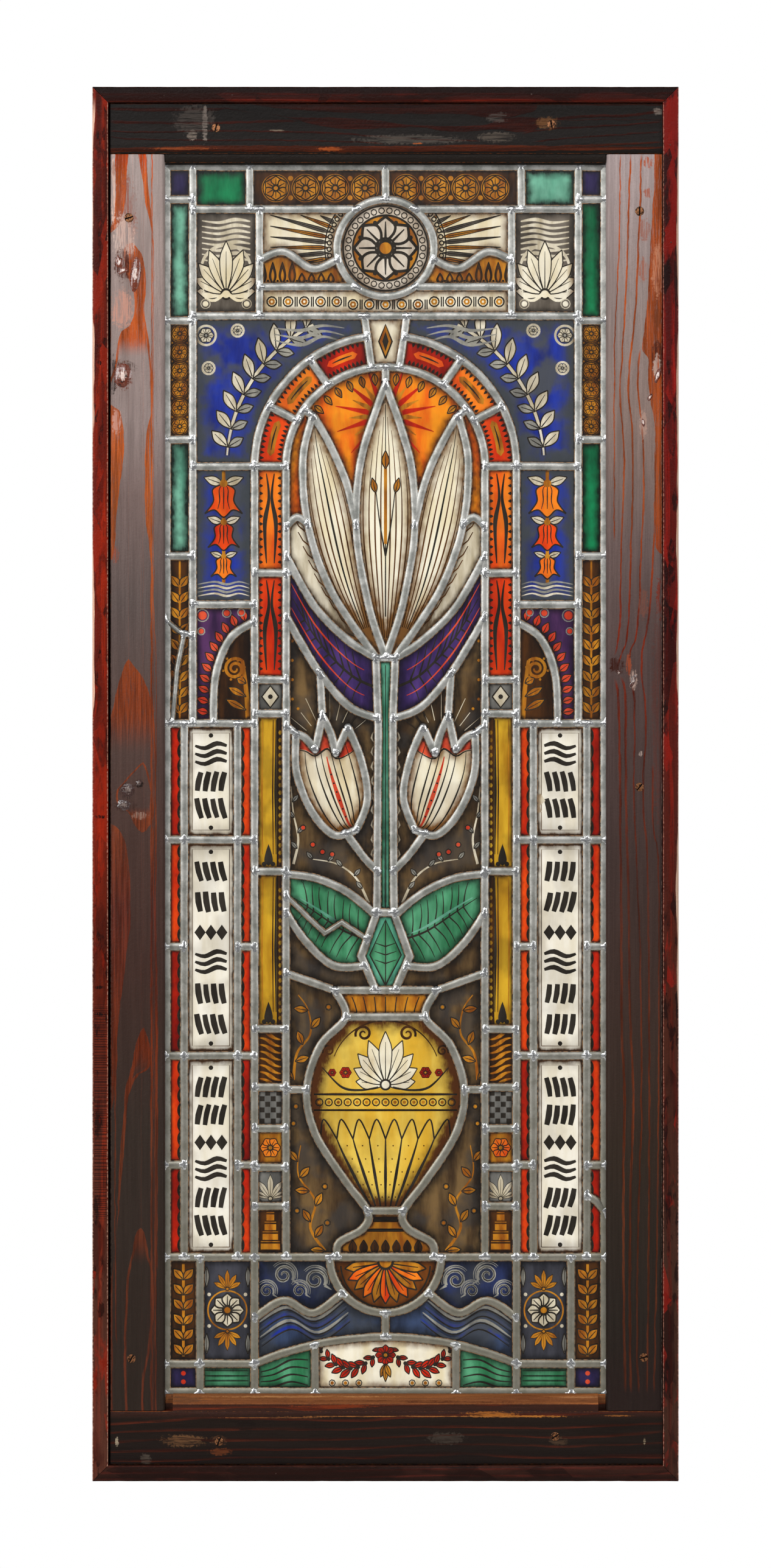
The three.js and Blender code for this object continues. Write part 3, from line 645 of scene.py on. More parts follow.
# From 7.6 mm below the sight line up, over the sill's upward bevel, the colours turn much lighter: painted
# light falling on the bevel from above.
rail_bottom_wood = pine(
    "dark_rail_bottom", "X",
    [(-60, "1b1311"), (-40, "221a16"), (-20, "231a15"), (-16, "38211a"), (-8.4, "3e241b"), (-7.6, "7c4828"),
     (-1, "86522e"), (0, "6e4426")],
    [(-60, "40190f"), (-40, "401c12"), (-20, "4e2114"), (-16, "5c2616"), (-8.4, "6e2c16"), (-7.6, "93592f"),
     (0, "8a5229")],
    straight(8.0, (-90, -50), (0.012, 0.01), 0.6, soft=0.35, sharp=0.1), worn="a8622a", worn_amount=0.45,
    deep="120c0a", fleck=0.45, shine=0.1, marks=(
        (-38, -166, 5, 17, "6a4a30", 0.9), (-47, -136, 3, 9, "6e3a1e", 0.7),
        (-38, -137, 4, 6, "5c3c28", 0.8), (-25, -114, 6, 8, "1c1411", 0.9),
        (-39, -221, 4, 1.4, "a89880", 0.9), (-53, -197, 5, 4, "5a5046", 0.6),
        (-38.5, 213, 3, 1.0, "94846a", 0.9), (-36, 50, 5, 15, "463c34", 0.7),
        (-38, 142, 4, 8, "523e2e", 0.7), (-18, 105, 0.9, 46, "b4722f", 1.0),
        (-16, 86, 2.2, 22, "a86426", 0.9), (-18, 10, 0.5, 90, "9c6434", 0.9),
        (-19, -90, 0.5, 45, "8a5630", 0.8), (-17.5, 190, 0.7, 12, "a86830", 0.8),
        (-9.5, -40, 1.6, 36, "7c3418", 0.8), (-4.5, -166, 3, 16, "5a3c28", 0.7),
        (-2.4, -70, 0.7, 75, "b07c4c", 0.8), (-5.6, -10, 0.6, 80, "5a3018", 0.8),
        (-4, 112, 3, 28, "6a3a1e", 0.6), (-6.4, 60, 0.5, 50, "4a2414", 0.8),
        (-2.8, 160, 0.6, 20, "a8744a", 0.8)))

for name, sign, wood in (("stile_left", -1, stile_left_wood), ("stile_right", 1, stile_right_wood)):
    left, right, foot, head = node_span(name)
    inner = right if sign < 0 else left
    stile = board(f"{name}_board", stile_section(right - left), head - foot,
                  lambda u, forward, along, inner=inner, sign=sign, middle_y=(foot + head) / 2:
                  at(inner + sign * u, middle_y + along, forward), wood, wear=SASH_WEAR, radius=0.7)
    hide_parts(name)
    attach(stile, "root")


def joined(name, pieces):
    """Several meshes as one object; the first one's object is kept."""
    with bpy.context.temp_override(active_object=pieces[0], selected_editable_objects=pieces):
        bpy.ops.object.join()
    pieces[0].name = pieces[0].data.name = name
    return pieces[0]


def rail(name, wood, sections):
    left, right, _, _ = node_span(name)
    sight = node_span("stile_right")[0]
    parts = []
    for section, reach in sections:
        start, end = (left, right) if reach is None else (-sight - reach, sight + reach)
        parts.append(board(f"{name}_part", section, end - start,
                           lambda u, forward, along, centre=(start + end) / 2:
                           at(centre + along, u, forward), wood, wear=SASH_WEAR, radius=0.8))
    made = joined(f"{name}_board", parts)
    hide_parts(name)
    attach(made, "root")


_, _, top_lip, top_head = node_span("rail_top")
top_body = node_span("stile_right")[3] + GAP
rail("rail_top", rail_top_wood, (
    ([(top_body, 0), (top_head, 0), (top_head, SASH_DEPTH), (top_body, SASH_DEPTH)], None),
    ([(top_lip, REBATE_DEPTH), (top_lip + REBATE_WIDTH, REBATE_DEPTH), (top_lip + REBATE_WIDTH, LAP),
      (top_body + LAP, LAP), (top_body + LAP, SASH_DEPTH - 1.2), (top_lip + 3.4, SASH_DEPTH - 1.2),
      (top_lip + 1.2, SASH_DEPTH - 2.2), (top_lip, SASH_DEPTH - 5)], -GAP),
    ([(top_lip + REBATE_WIDTH, 0), (top_body + LAP, 0), (top_body + LAP, REBATE_DEPTH - GAP),
      (top_lip + REBATE_WIDTH, REBATE_DEPTH - GAP)], REBATE_WIDTH - GAP)))

_, _, bottom_foot, sill_head = node_span("rail_bottom")
bottom_body = node_span("stile_right")[2] - GAP
rail("rail_bottom", rail_bottom_wood, (
    ([(bottom_foot, 0), (bottom_body, 0), (bottom_body, SASH_DEPTH), (bottom_foot, SASH_DEPTH)],
     None),
    ([(bottom_body - LAP, LAP), (sill_head - REBATE_WIDTH, LAP),
      (sill_head - REBATE_WIDTH, REBATE_DEPTH), (sill_head - 0.5, REBATE_DEPTH),
      (sill_head - 0.5, REBATE_DEPTH + 1), (bottom_body - LAP, REBATE_DEPTH + 2)], -GAP),
    ([(bottom_body - LAP, REBATE_DEPTH - 3), (sill_head - REBATE_WIDTH - 1, REBATE_DEPTH - 3),
      (sill_head - REBATE_WIDTH, REBATE_DEPTH + 0.2), (sill_head, REBATE_DEPTH + 0.2),
      (sill_head, REBATE_DEPTH + 1.6), (sill_head - 6.6, SASH_DEPTH - 1),
      (sill_head - 7.6, SASH_DEPTH), (bottom_body - LAP, SASH_DEPTH)], -SILL_SHORTENED),
    ([(bottom_body - LAP, 0), (sill_head - REBATE_WIDTH, 0),
      (sill_head - REBATE_WIDTH, REBATE_DEPTH - GAP), (bottom_body - LAP, REBATE_DEPTH - GAP)],
     REBATE_WIDTH - GAP)))


# A near-black strip fills the gap where the left stile has shrunk away from the edging: painted
# shadow deep in the gap, and packed dust and old varnish as well.
shadow_and_grime_black, tree, shader = material("packed_grime_and_shadow", 0.9, Specular_IOR_Level=0.1)
dress(shader, mix(clouds(node("TexCoord", {}, 3, tree), 300.0), tint("060404"), tint("140d0a")))
gap_left, gap_right = node_span("edging_left")[1] + 0.05, node_span("stile_left")[0] - 0.05
grime = board("gap_shadow_and_grime", [(0, 5), (gap_right - gap_left, 5), (gap_right - gap_left, 27), (0, 27)],
              top_head - bottom_foot, upright(gap_left, 1), shadow_and_grime_black, radius=0.2)
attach(grime, "root")


def mound_faces(first, turns, rings):
    """The faces of a closed mound: a top point, rings of points round it and one under them."""
    faces = [(first, first + 1 + k, first + 1 + (k + 1) % turns) for k in range(turns)]
    for ring_number in range(rings - 1):
        a = first + 1 + ring_number * turns
        b = a + turns
        faces += [(a + k, b + k, b + (k + 1) % turns, a + (k + 1) % turns) for k in range(turns)]
    rim = first + 1 + (rings - 1) * turns
    return faces + [(rim + k, rim + turns, rim + (k + 1) % turns) for k in range(turns)]


def dome(x, y, half_width, half_height, rise, turn=0.0, lumps=0.3, base=SASH_DEPTH, turns=28):
    """A low closed mound on the front: its vertices and faces."""
    rings = (0.3, 0.55, 0.78, 0.92, 1.0)
    spots = [(x, y, base + rise)]
    for ring_share in rings:
        for k in range(turns):
            angle = math.tau * k / turns
            swell = 1 + lumps * 0.5 * noise.noise(Vector((x, y, angle * 1.5)))
            u = half_width * ring_share * swell * math.cos(angle)
            v = half_height * ring_share * swell * math.sin(angle)
            px = x + u * math.cos(turn) - v * math.sin(turn)
            py = y + u * math.sin(turn) + v * math.cos(turn)
            bump = 1 + lumps * noise.noise(Vector((px, py, 3)) * 0.4)
            height = rise * (1 - ring_share ** 2.4) * bump - 0.1 * ring_share
            spots.append((px, py, base + height))
    spots.append((x, y, base - 1.5))
    crowns = [1.0] + [1 - share for share in rings for _ in range(turns)] + [0.0]
    return [at(*spot) for spot in spots], mound_faces(0, turns, len(rings)), crowns


def merged(name, parts, made_of, sharp=50):
    """One object of several closed meshes, each (vertices, faces, how near each point is to the
    top)."""
    vertices, faces, crowns = [], [], []
    for spots, sides, near in parts:
        crowns += near
        faces += [tuple(k + len(vertices) for k in side) for side in sides]
        vertices += spots
    made = mesh_object(name, vertices, faces, [made_of], sharp=sharp)
    made.data.attributes.new("crown", "FLOAT", "POINT").data.foreach_set("value", crowns)
    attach(made, "root")


# Swollen knots stand a little proud of the stiles, cracked across, with painted glare on top.
knot_wood, tree, shader = material("varnished_knot", 0.16, Specular_IOR_Level=0.7, Coat_Weight=0.8,
                                   Coat_Roughness=0.08)
place = in_millimetres(tree)
y = plus(node("SeparateXYZ", {0: place}, 2), ORIGIN_HEIGHT)
streaks = clouds(scaled(place, 1.0, 1.0, 0.3), 0.8, 3.0)
# pale: where the painted glare lies, on the top of each knot and in streaks over it.
pale = fade(plus(measured(tree, "crown"), times(streaks, 1.6)), 1.25, 1.6)
cracks = clouds(scaled(place, 0.25, 1.0, 1.3), 0.8, 3.0)
# The knots' own colour and their painted glare both lighten with height, as painted sheen from above.
colour = mix(pale, stops(y, [(480, "38201a"), (800, "6a2c16"), (1015, "7c3416")]),
             stops(y, [(480, "7a6a62"), (800, "e6ccc0"), (1015, "f0dcd2")]))
dress(shader, mix(fade(cracks, 0.40, 0.34), colour, tint("2a130c")), None, cracks, 0.5, 0.001)
merged("stile_knots", [
    dome(*sizes) for sizes in (
        (-219, 931, 3.2, 5, 1.0, 0.2, 0.6), (-216, 924, 4, 2.6, 0.9, 0.5, 0.8),
        (-205.5, 921, 4.4, 14.5, 1.8, -0.12, 0.25), (-216, 838, 7.0, 10, 1.9, -0.1, 0.25),
        (-212, 497, 5.6, 5.6, 0.5, 0, 0.2), (-215.5, 485, 5.0, 4.0, 1.0, 0.3, 0.9),
        (-203, 503, 2.6, 2.2, 0.6, 0.3, 0.9), (224, 838, 2.2, 6.5, 1.2, -0.3, 0.5),
        (217.5, 820, 1.6, 3.6, 0.9, -0.5, 0.5), (212, 799, 1.5, 3.4, 0.7, 0.2, 0.5),
        (192, 593.5, 1.6, 1.9, 0.8, 0.6, 0.9), (203.5, 587, 1.7, 5.6, 0.7, -0.35, 0.9))],
       knot_wood)


# ---- Screws and nails ---------------------------------------------------------------------
# Nine slotted countersunk screws of coppery brass hold the window to its opening, four in the
# rails and five in the stiles. Small iron nails fix the edging.
SCREW_RADIUS = 3.5
SLOT_HALF = 0.5
screw_metal, tree, shader = material("coppery_brass", 0.38, Metallic=0.75)
tarnish = clouds(in_millimetres(tree), 0.7, 4.0, 0.6)
dress(shader, mix(fade(tarnish, 0.42, 0.6), tint("a8714a"), tint("3a2418")))


def screw_half(x, y, turn, side):
    """Half a screw's head, on one side of the slot."""
    across = math.asin(SLOT_HALF / SCREW_RADIUS)
    angles = [across + (math.pi - 2 * across) * k / 16 for k in range(17)]
    rows = []
    for shrink, height in ((0, -0.5), (0, 0.16), (0.28, 0.36)):
        rows.append([((SCREW_RADIUS - shrink) * math.cos(a), max(SLOT_HALF + shrink * 0.4,
                      (SCREW_RADIUS - shrink) * math.sin(a)), height) for a in angles])
    rows.append([(0, SCREW_RADIUS * 0.45, 0.42)])
    spots = [(u * math.cos(turn) - side * v * math.sin(turn),
              u * math.sin(turn) + side * v * math.cos(turn), h) for row in rows for u, v, h in row]
    count = len(angles)
    faces = [tuple(range(count))[::-1]]
    for i in range(2):
        a, b = i * count, (i + 1) * count
        faces += [(a + k, a + (k + 1) % count, b + (k + 1) % count, b + k) for k in range(count)]
    faces += [(2 * count + k, 2 * count + (k + 1) % count, 3 * count) for k in range(count)]
    faces = faces if side > 0 else [face[::-1] for face in faces]
    return [at(x + u, y + v, SASH_DEPTH + h) for u, v, h in spots], faces, [1.0] * len(spots)


screws = ((-139.5, 1041.5, 75), (136.5, 1044.5, 100), (-211, 967.5, 18), (-209, 29.5, 62),
          (209, 973, 88), (209, 499.5, 50), (212.5, 30.5, 15), (-137, -38.5, 65), (139.5, -34.5, 30))
merged("screws", [screw_half(x, y, math.radians(turn), side)
                  for x, y, turn in screws for side in (1, -1)], screw_metal, sharp=25)
# A thin near-black ring lies under each screw head, in the same material as the gap.
SEAT_RADIUS = SCREW_RADIUS + 0.8
merged("screw_seats", [dome(x, y, SEAT_RADIUS, SEAT_RADIUS, 0.1, 0, 0.25) for x, y, _ in screws],
       shadow_and_grime_black)
nail_iron, tree, shader = material("iron_nail", 0.3, Metallic=0.5)
rust = clouds(node("TexCoord", {}, 3, tree), 900.0, 3.0)
dress(shader, mix(rust, tint("1a1210"), tint("5a4238")))
merged("nails", [dome(x, y, 1.15, 1.3, 0.2, 0, 0.4, EDGING_DEPTH - 0.2, 14) for x, y in (
    (-182, 1067.5), (-126, 1068), (120, 1068.5), (-236, 716), (-237.5, 771), (-235.5, 292),
    (-233.5, -22), (234, 1027), (234.5, 947), (234.5, 642), (236, 622), (236, 576), (236, 140),
    (-90, -64.5), (96, -65))], nail_iron)


# ---- Glazing beads ------------------------------------------------------------------------
# Four mitred pine beads pinned behind the leaded panel. They only show from the back, and are
# plainer: one thin coat of stain.
BEAD_WIDTH = 10.0
bead_back, bead_front = (-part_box("bead_left")[k][1] / MM for k in (1, 0))
bead_section = [(0, bead_back), (BEAD_WIDTH - 3, bead_back), (BEAD_WIDTH, bead_back + 4),
                (BEAD_WIDTH, bead_front), (0, bead_front)]
bead_woods = [pine(f"plain_bead_{along}", along, [(0, "7d5a3e"), (1040, "8a6647")],
                   [(0, "5e3d25"), (1040, "6b4630")], straight(3.2, pith, (0.01, 0.01)), gloss=0.5,
                   worn="a88560", deep="3e2a1c")
              for along, pith in (("Z", (160, -60)), ("X", (540, -60)))]
bead_left_x, _, *bead_ends = node_span("bead_left")
bead_mid = sum(bead_ends) / 2
bead_foot, bead_head = node_span("bead_bottom")[2], node_span("bead_top")[3]
for side, length, place, wood in (
        ("left", bead_head - bead_foot,
         lambda u, f, a: at(bead_left_x + u, bead_mid + a, f), bead_woods[0]),
        ("right", bead_head - bead_foot,
         lambda u, f, a: at(-bead_left_x - u, bead_mid + a, f), bead_woods[0]),
        ("top", -2 * bead_left_x, lambda u, f, a: at(a, bead_head - u, f), bead_woods[1]),
        ("bottom", -2 * bead_left_x, lambda u, f, a: at(a, bead_foot + u, f), bead_woods[1])):
    bead = board(f"bead_{side}_strip", bead_section, length, place, wood, mitre=1.0, wear=0.2,
                 radius=0.5)
    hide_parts(f"bead_{side}")
    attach(bead, "root")


# ---- Leading ------------------------------------------------------------------------------
# The net of H-shaped lead cames that the glass is cut to fit, with a round crown in front and
# behind, a line of tan cement along both flanges, and a lump of solder on every joint.
EDGE_X, EDGE_FOOT, EDGE_HEAD = 182.5, -1.0, 1013.0
BORDER_X = 159
COLUMN_OUT, COLUMN_IN = 108, 82
INSCRIPTION_OUT, INSCRIPTION_IN, INSCRIPTION_HEAD = 166, 122, 552
PLINTH_HEAD = 112
SPRINGING = 764
FRIEZE_FOOT, FRIEZE_HEAD = 888, 976
ROUNDEL_Y, ROUNDEL_RADIUS = 944, 40
SHELL_RADIUS = 46
GARLAND_RADIUS, GARLAND_SPREAD, GARLAND_CROWN = 276.1, 23.03, 46
PANEL_DEPTH = 21.7
CAME_WIDTH, EDGE_CAME_WIDTH, MENDING_LEAD_WIDTH = 6.0, 10.0, 3.5
CROWN, FLANGE_EDGE, GLASS_HALF, HEART_HALF = 3.0, 2.0, 1.5, 0.8
CEMENT_LINE = 0.6  # how far the cement shows past a flange
HAND_BEND = 0.28  # how far a came strays from its drawn line
CORNER_X, CORNER_Y = 153, 24  # the lines that part a corner block


def curve(points, step=2.5):
    """A smooth line through the points."""
    points = [Vector(point) for point in points]
    ends = [points[0], *points, points[-1]]
    made = []
    for a, b, c, d in zip(ends, ends[1:], ends[2:], ends[3:]):
        parts = max(2, round((c - b).length / step))
        for t in (k / parts for k in range(parts)):
            made.append((2 * b + (c - a) * t + (2 * a - 5 * b + 4 * c - d) * t * t
                         + (3 * b - a - 3 * c + d) * t ** 3) / 2)
    return made + [points[-1]]


def arc(x, y, radius, start, end, step=2.5):
    parts = max(6, round(abs(math.radians(end - start)) * radius / step))
    angles = (math.radians(start + (end - start) * k / parts) for k in range(parts + 1))
    return [Vector((x + radius * math.cos(a), y + radius * math.sin(a))) for a in angles]


def arch(radius, start, end, step=2.5):
    """An arc round the middle of the arch."""
    return arc(0, SPRINGING, radius, start, end, step)


def mirrored(points):
    return [Vector((-point[0], point[1])) for point in points]


# The curved edges that the painted shapes follow too
SCROLL_EDGE = curve([(COLUMN_OUT, 636), (128, 622), (140, 592), (142, INSCRIPTION_HEAD)])
SHORE = curve([(35.2, 82.4), (60, 66), (84, 76), (COLUMN_OUT, 62)])
VASE_SIDE = curve([(40, 112), (38, 124), (18, 136), (15, 150), (34, 176), (58, 214), (65, 250),
                   (54, 286), (33, 310), (42, 332)])
LEAF_FOOT = curve([(17, 352), (42, 352), (64, 370), (82, 396)])
LEAF_HEAD = curve([(8, 394), (30, 412), (56, 424), (82, 428)])
TULIP_RIGHT = curve([(24, 464), (42, 460), (60, 478), (73, 510), (74, 544)])
DARK_FOOT = curve([(6, 556), (30, 566), (56, 596), (82, 640)])
DARK_HEAD = curve([(8, 606), (30, 620), (58, 648), (82, 690)])
LILY_MIDDLE = curve([(0, 606), (14, 650), (24, 710), (20, 770), (0, 832)])
LILY_OUTER = curve([(60, 806), (68, 770), (64, 716), (45, 662), (8, 606)])

leads = []


def lead(*lines, twin=True, width=CAME_WIDTH):
    """Notes one lead along each line, and its twin on the other side of the window."""
    for points in lines:
        leads.append(([Vector(point) for point in points], width))
        if twin:
            leads.append((mirrored(points), width))


# Border, frieze and roundel
lead([(BORDER_X, EDGE_HEAD), (BORDER_X, INSCRIPTION_HEAD)],
     *([(EDGE_X, y), (BORDER_X, y)] for y in (984, 884, 786, 690)),
     [(BORDER_X, FRIEZE_HEAD), (24, FRIEZE_HEAD)], [(112, EDGE_HEAD), (112, FRIEZE_HEAD)],
     [(104, FRIEZE_HEAD), (104, FRIEZE_FOOT)], [(104, 912), (24, 912)],
     curve([(39, 935), (60, 927), (84, 941), (104, 934)]))
lead([(0, EDGE_HEAD), (0, ROUNDEL_Y + ROUNDEL_RADIUS)], arc(0, ROUNDEL_Y, ROUNDEL_RADIUS, 90, 450),
     [(-BORDER_X, FRIEZE_FOOT), (BORDER_X, FRIEZE_FOOT)], twin=False)

# Columns and arch
lead([(COLUMN_OUT, SPRINGING), (COLUMN_OUT, EDGE_FOOT)],
     [(COLUMN_IN, SPRINGING), (COLUMN_IN, PLINTH_HEAD)], arch(COLUMN_OUT, 0, 82),
     [(11.4, SPRINGING + 81.2), (17.4, FRIEZE_FOOT)],
     *([(COLUMN_IN, y), (COLUMN_OUT, y)] for y in (676, 588, 560, 430, 300, 252, 218, 186, 154)))
lead(arch(COLUMN_IN, 0, 180), twin=False)
for angle in (0, 27.3, 54.7):
    lead([arch(radius, angle, angle)[0] for radius in (COLUMN_IN, COLUMN_OUT)])

# Side panes and inscription blocks
lead(*([(COLUMN_OUT, y), (BORDER_X, y)] for y in (SPRINGING, 650)),
     SCROLL_EDGE, [(EDGE_X, INSCRIPTION_HEAD), (COLUMN_OUT, INSCRIPTION_HEAD)],
     *([(x, INSCRIPTION_HEAD), (x, PLINTH_HEAD)] for x in (INSCRIPTION_IN, INSCRIPTION_OUT)),
     *([(COLUMN_OUT, y), (EDGE_X, y)] for y in (456, 278)))
for y in (368, 188):
    lead([(COLUMN_OUT, y), (INSCRIPTION_IN, y)], [(INSCRIPTION_OUT, y), (EDGE_X, y)])

# Plinth: corner blocks, garland, waves and shell
lead([(-EDGE_X, PLINTH_HEAD), (EDGE_X, PLINTH_HEAD)],
     [(0, PLINTH_HEAD - SHELL_RADIUS), (0, GARLAND_CROWN)],
     arc(0, GARLAND_CROWN - GARLAND_RADIUS, GARLAND_RADIUS, 90 - GARLAND_SPREAD, 90 + GARLAND_SPREAD),
     arc(0, PLINTH_HEAD, SHELL_RADIUS, 180, 360), twin=False)
lead([(CORNER_X, PLINTH_HEAD), (CORNER_X, EDGE_FOOT)], [(EDGE_X, CORNER_Y), (COLUMN_OUT, CORNER_Y)],
     [(58, EDGE_FOOT), (58, 39.8)], SHORE)

# Vase, stem and lower leaves
lead(VASE_SIDE, [(65, 250), (82, 250)], [(42, 332), (82, 346)],
     [(8, 332), (20, 360), (7, 396), (6, 556), (8, 606)], LEAF_FOOT, LEAF_HEAD)
lead([(-15, 150), (15, 150)], [(-33, 310), (33, 310)], [(-42, 332), (42, 332)], [(-7, 396), (7, 396)],
     twin=False)

# Tulips and dark leaves
lead(curve([(31, 549), (20, 522), (15, 490), (24, 464)]), TULIP_RIGHT, [(31, 549), (41, 527)],
     curve([(41, 527), (45, 543), (52, 558)]), [(52, 558), (58, 530)],
     curve([(58, 530), (66, 540), (74, 544)]), curve([(6, 430), (18, 442), (33, 462)]),
     [(52, 558), (54, 594)], [(74, 544), (82, 550)], DARK_FOOT, DARK_HEAD)

# Lily
lead([(-8, 606), (8, 606)], [(0, 832), (0, SPRINGING + COLUMN_IN)], twin=False)
lead(LILY_MIDDLE, curve([(24, 716), (33, 752), (47, 784), (60, 806)]), [(60, 806), (67.2, 811)],
     LILY_OUTER, curve([(64, 716), (73, 722), (82, 714)]))

# Thin leads that mend three cracked panes, and a stout one across a red strip
lead([(-EDGE_X, 638), (-170, 628), (-BORDER_X, 624)],
     [(-166, 626), (-172, 596), (-176, INSCRIPTION_HEAD)],
     [(-15, 374), (-36, 388), (-50, 379), (-82, 410)], twin=False, width=MENDING_LEAD_WIDTH)
lead([(INSCRIPTION_OUT, 163), (174, 158), (EDGE_X, 148)], twin=False)

# The wide came round the edge
lead([(-EDGE_X, EDGE_FOOT), (EDGE_X, EDGE_FOOT)], [(-EDGE_X, EDGE_HEAD), (EDGE_X, EDGE_HEAD)],
     twin=False, width=EDGE_CAME_WIDTH)
lead([(EDGE_X, EDGE_FOOT), (EDGE_X, EDGE_HEAD)], width=EDGE_CAME_WIDTH)

lead_starts, lead_ends, lead_halves = (np.array(values) for values in zip(*(
    (tuple(a), tuple(b), width / 2) for points, width in leads for a, b in zip(points, points[1:]))))


def lead_distance(spots, reach=0.0):
    """How far each spot is from the edge of the nearest lead, or from its middle line."""
    spots = np.asarray(spots, float)
    best = np.full(len(spots), 99.0)
    foot, head = spots.min(0) - 20, spots.max(0) + 20
    near = (np.maximum(lead_starts, lead_ends) > foot).all(1)
    near &= (np.minimum(lead_starts, lead_ends) < head).all(1)
    for start, end, half in zip(lead_starts[near], lead_ends[near], lead_halves[near]):
        run = end - start
        t = np.clip(((spots - start) @ run) / (run @ run), 0, 1)
        gaps = np.linalg.norm(spots - start - t[:, None] * run, axis=1)
        best = np.minimum(best, gaps - (0 if reach else half))
    return best


def hand_bent(point):
    """A point of the leading moved a little: no came is quite straight."""
    spot = Vector((point[0], point[1], 0)) * 0.045
    return Vector((point[0] + HAND_BEND * noise.noise(spot + Vector((3, 1, 8))),
                   point[1] + HAND_BEND * noise.noise(spot + Vector((9, 5, 2)))))


def crown(share):
    """Height of a came over the middle plane, from its middle (0) to its edge (1)."""
    return CROWN - (CROWN - FLANGE_EDGE) * min(1.0, abs(share)) ** 2.6


LEAD, CEMENT = 0, 1
front_shares = (-1, -0.82, -0.5, 0, 0.5, 0.82, 1)
back_shares = (1, 0.75, 0, -0.75, -1)


def came_section(half):
    """The points of a came's section round its middle, [across, forward], and the material of
    the face that starts at each."""
    points, made_of = [], []
    for face, shares in ((1, front_shares), (-1, back_shares)):
        side = shares[0]
        for across, forward, kind in (
                (side * HEART_HALF, GLASS_HALF + 0.03, CEMENT),
                (side * (half + CEMENT_LINE), GLASS_HALF + 0.03, CEMENT),
                (side * half, GLASS_HALF + 0.25, LEAD),
                *((share * half, crown(share), LEAD) for share in shares),
                (-side * half, GLASS_HALF + 0.25, CEMENT),
                (-side * (half + CEMENT_LINE), GLASS_HALF + 0.03, CEMENT),
                (-side * HEART_HALF, GLASS_HALF + 0.03, LEAD)):
            points.append((across, face * forward))
            made_of.append(kind)
    return points, made_of


lead_metal, tree, shader = material("came_lead", 0.45, Metallic=0.75)
place = in_millimetres(tree)
patina = clouds(place, 0.09, 4.0, 0.6)
grime = clouds(place, 0.8, 3.0, 0.6)
colour = mix(fade(patina, 0.35, 0.65), tint("c2c1bb"), tint("94958f"))
# The lower leads are made duller and darker: painted shade, as though less light reached the foot of the
# window.
lower_painted_shade = fade(node("SeparateXYZ", {0: place}, 2), -480, -980)
colour = mix(times(lower_painted_shade, 0.75), colour, tint("857f6c"))
colour = mix(times(fade(grime, 0.58, 0.76), 0.4), colour, tint("6a6862"))
dents = plus(clouds(place, 0.25, 3.0), times(grime, 0.12))
dress(shader, colour, plus(times(grime, 0.25), 0.34), dents, 0.4, 0.0005)

cement, tree, shader = material("tan_cement", 0.85)
crumbs = clouds(in_millimetres(tree), 0.3, 4.0)
dress(shader, mix(fade(crumbs, 0.38, 0.62), tint("3a2c1f"), tint("9a7550")))

SHORTENED = 2.4  # an end butts against the flange of the lead that it meets
STRAIGHT_STEP = 7.5


def resampled(points, step):
    """The same line with its long stretches divided."""
    made = [points[0]]
    for a, b in zip(points, points[1:]):
        parts = math.ceil((b - a).length / step)
        made += [a.lerp(b, k / parts) for k in range(1, parts + 1)]
    return made


vertices, faces, kinds = [], [], []
for points, width in leads:
    points = list(points)
    if (points[0] - points[-1]).length > 1 and width == CAME_WIDTH:
        for end, inner in ((0, 1), (-1, -2)):
            share = min(0.8, SHORTENED / (points[inner] - points[end]).length)
            points[end] = points[end].lerp(points[inner], share)
    points = [hand_bent(point) for point in resampled(points, STRAIGHT_STEP)]
    section, made_of = came_section(width / 2)
    size, first = len(section), len(vertices)
    for i, point in enumerate(points):
        before, after = points[max(i - 1, 0)], points[min(i + 1, len(points) - 1)]
        run = (after - before).normalized()
        side = Vector((-run.y, run.x))
        bend = (point - before).normalized().dot(run) if 0 < i < len(points) - 1 else 1
        swell = 1 + 0.07 * noise.noise(Vector((point.x, point.y, 40)) * 0.09)
        dent = 0.16 * max(0.0, noise.noise(Vector((point.x, point.y, 11)) * 0.16))
        for across, forward in section:
            spot = point + side * across * swell / max(0.75, bend)
            lowered = dent if forward > FLANGE_EDGE + 0.3 else 0
            vertices.append(at(spot.x, spot.y, PANEL_DEPTH + forward - lowered))
    for i in range(len(points) - 1):
        for j in range(size):
            here, there = first + i * size, first + (i + 1) * size
            faces.append((here + j, there + j, there + (j + 1) % size, here + (j + 1) % size))
            kinds.append(made_of[j])
    last = first + (len(points) - 1) * size
    faces += [tuple(range(first, first + size)), tuple(range(last, last + size))[::-1]]
    kinds += [LEAD, LEAD]
came_net = mesh_object("came_net", vertices, faces, [lead_metal, cement], kinds, sharp=38)
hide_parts("lead_cames")
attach(came_net, "root")

SOLDER_RADIUS = 3.1
JOINT_SPACING = 4.5  # leads that meet closer than this share one joint
solder, tree, shader = material("solder", 0.24, Metallic=0.92)
place = in_millimetres(tree)
grime = clouds(place, 0.5, 4.0, 0.6)
dress(shader, mix(fade(grime, 0.45, 0.72), tint("d2d3d2"), tint("8c8e8c")),
      plus(times(grime, 0.4), 0.08), clouds(place, 0.5, 2.0), 0.5, 0.0008)


def crossing(a, b, c, d):
    """Where segments ab and cd meet, or None."""
    first, second, gap = b - a, d - c, c - a
    turn = first.cross(second)
    if abs(turn) < 1e-6:
        return None
    s, t = gap.cross(second) / turn, gap.cross(first) / turn
    return a + first * s if -0.02 <= s <= 1.02 and -0.02 <= t <= 1.02 else None


joints = []
for i, (line, _) in enumerate(leads):
    found = [line[0], line[-1]]
    for other, _ in leads[i + 1:]:
        if len(line) == 2 or len(other) == 2:
            found += [spot for a, b in zip(line, line[1:]) for c, d in zip(other, other[1:])
                      if (spot := crossing(a, b, c, d))]
    joints += [spot for spot in found if all((spot - joint).length > JOINT_SPACING for joint in joints)]

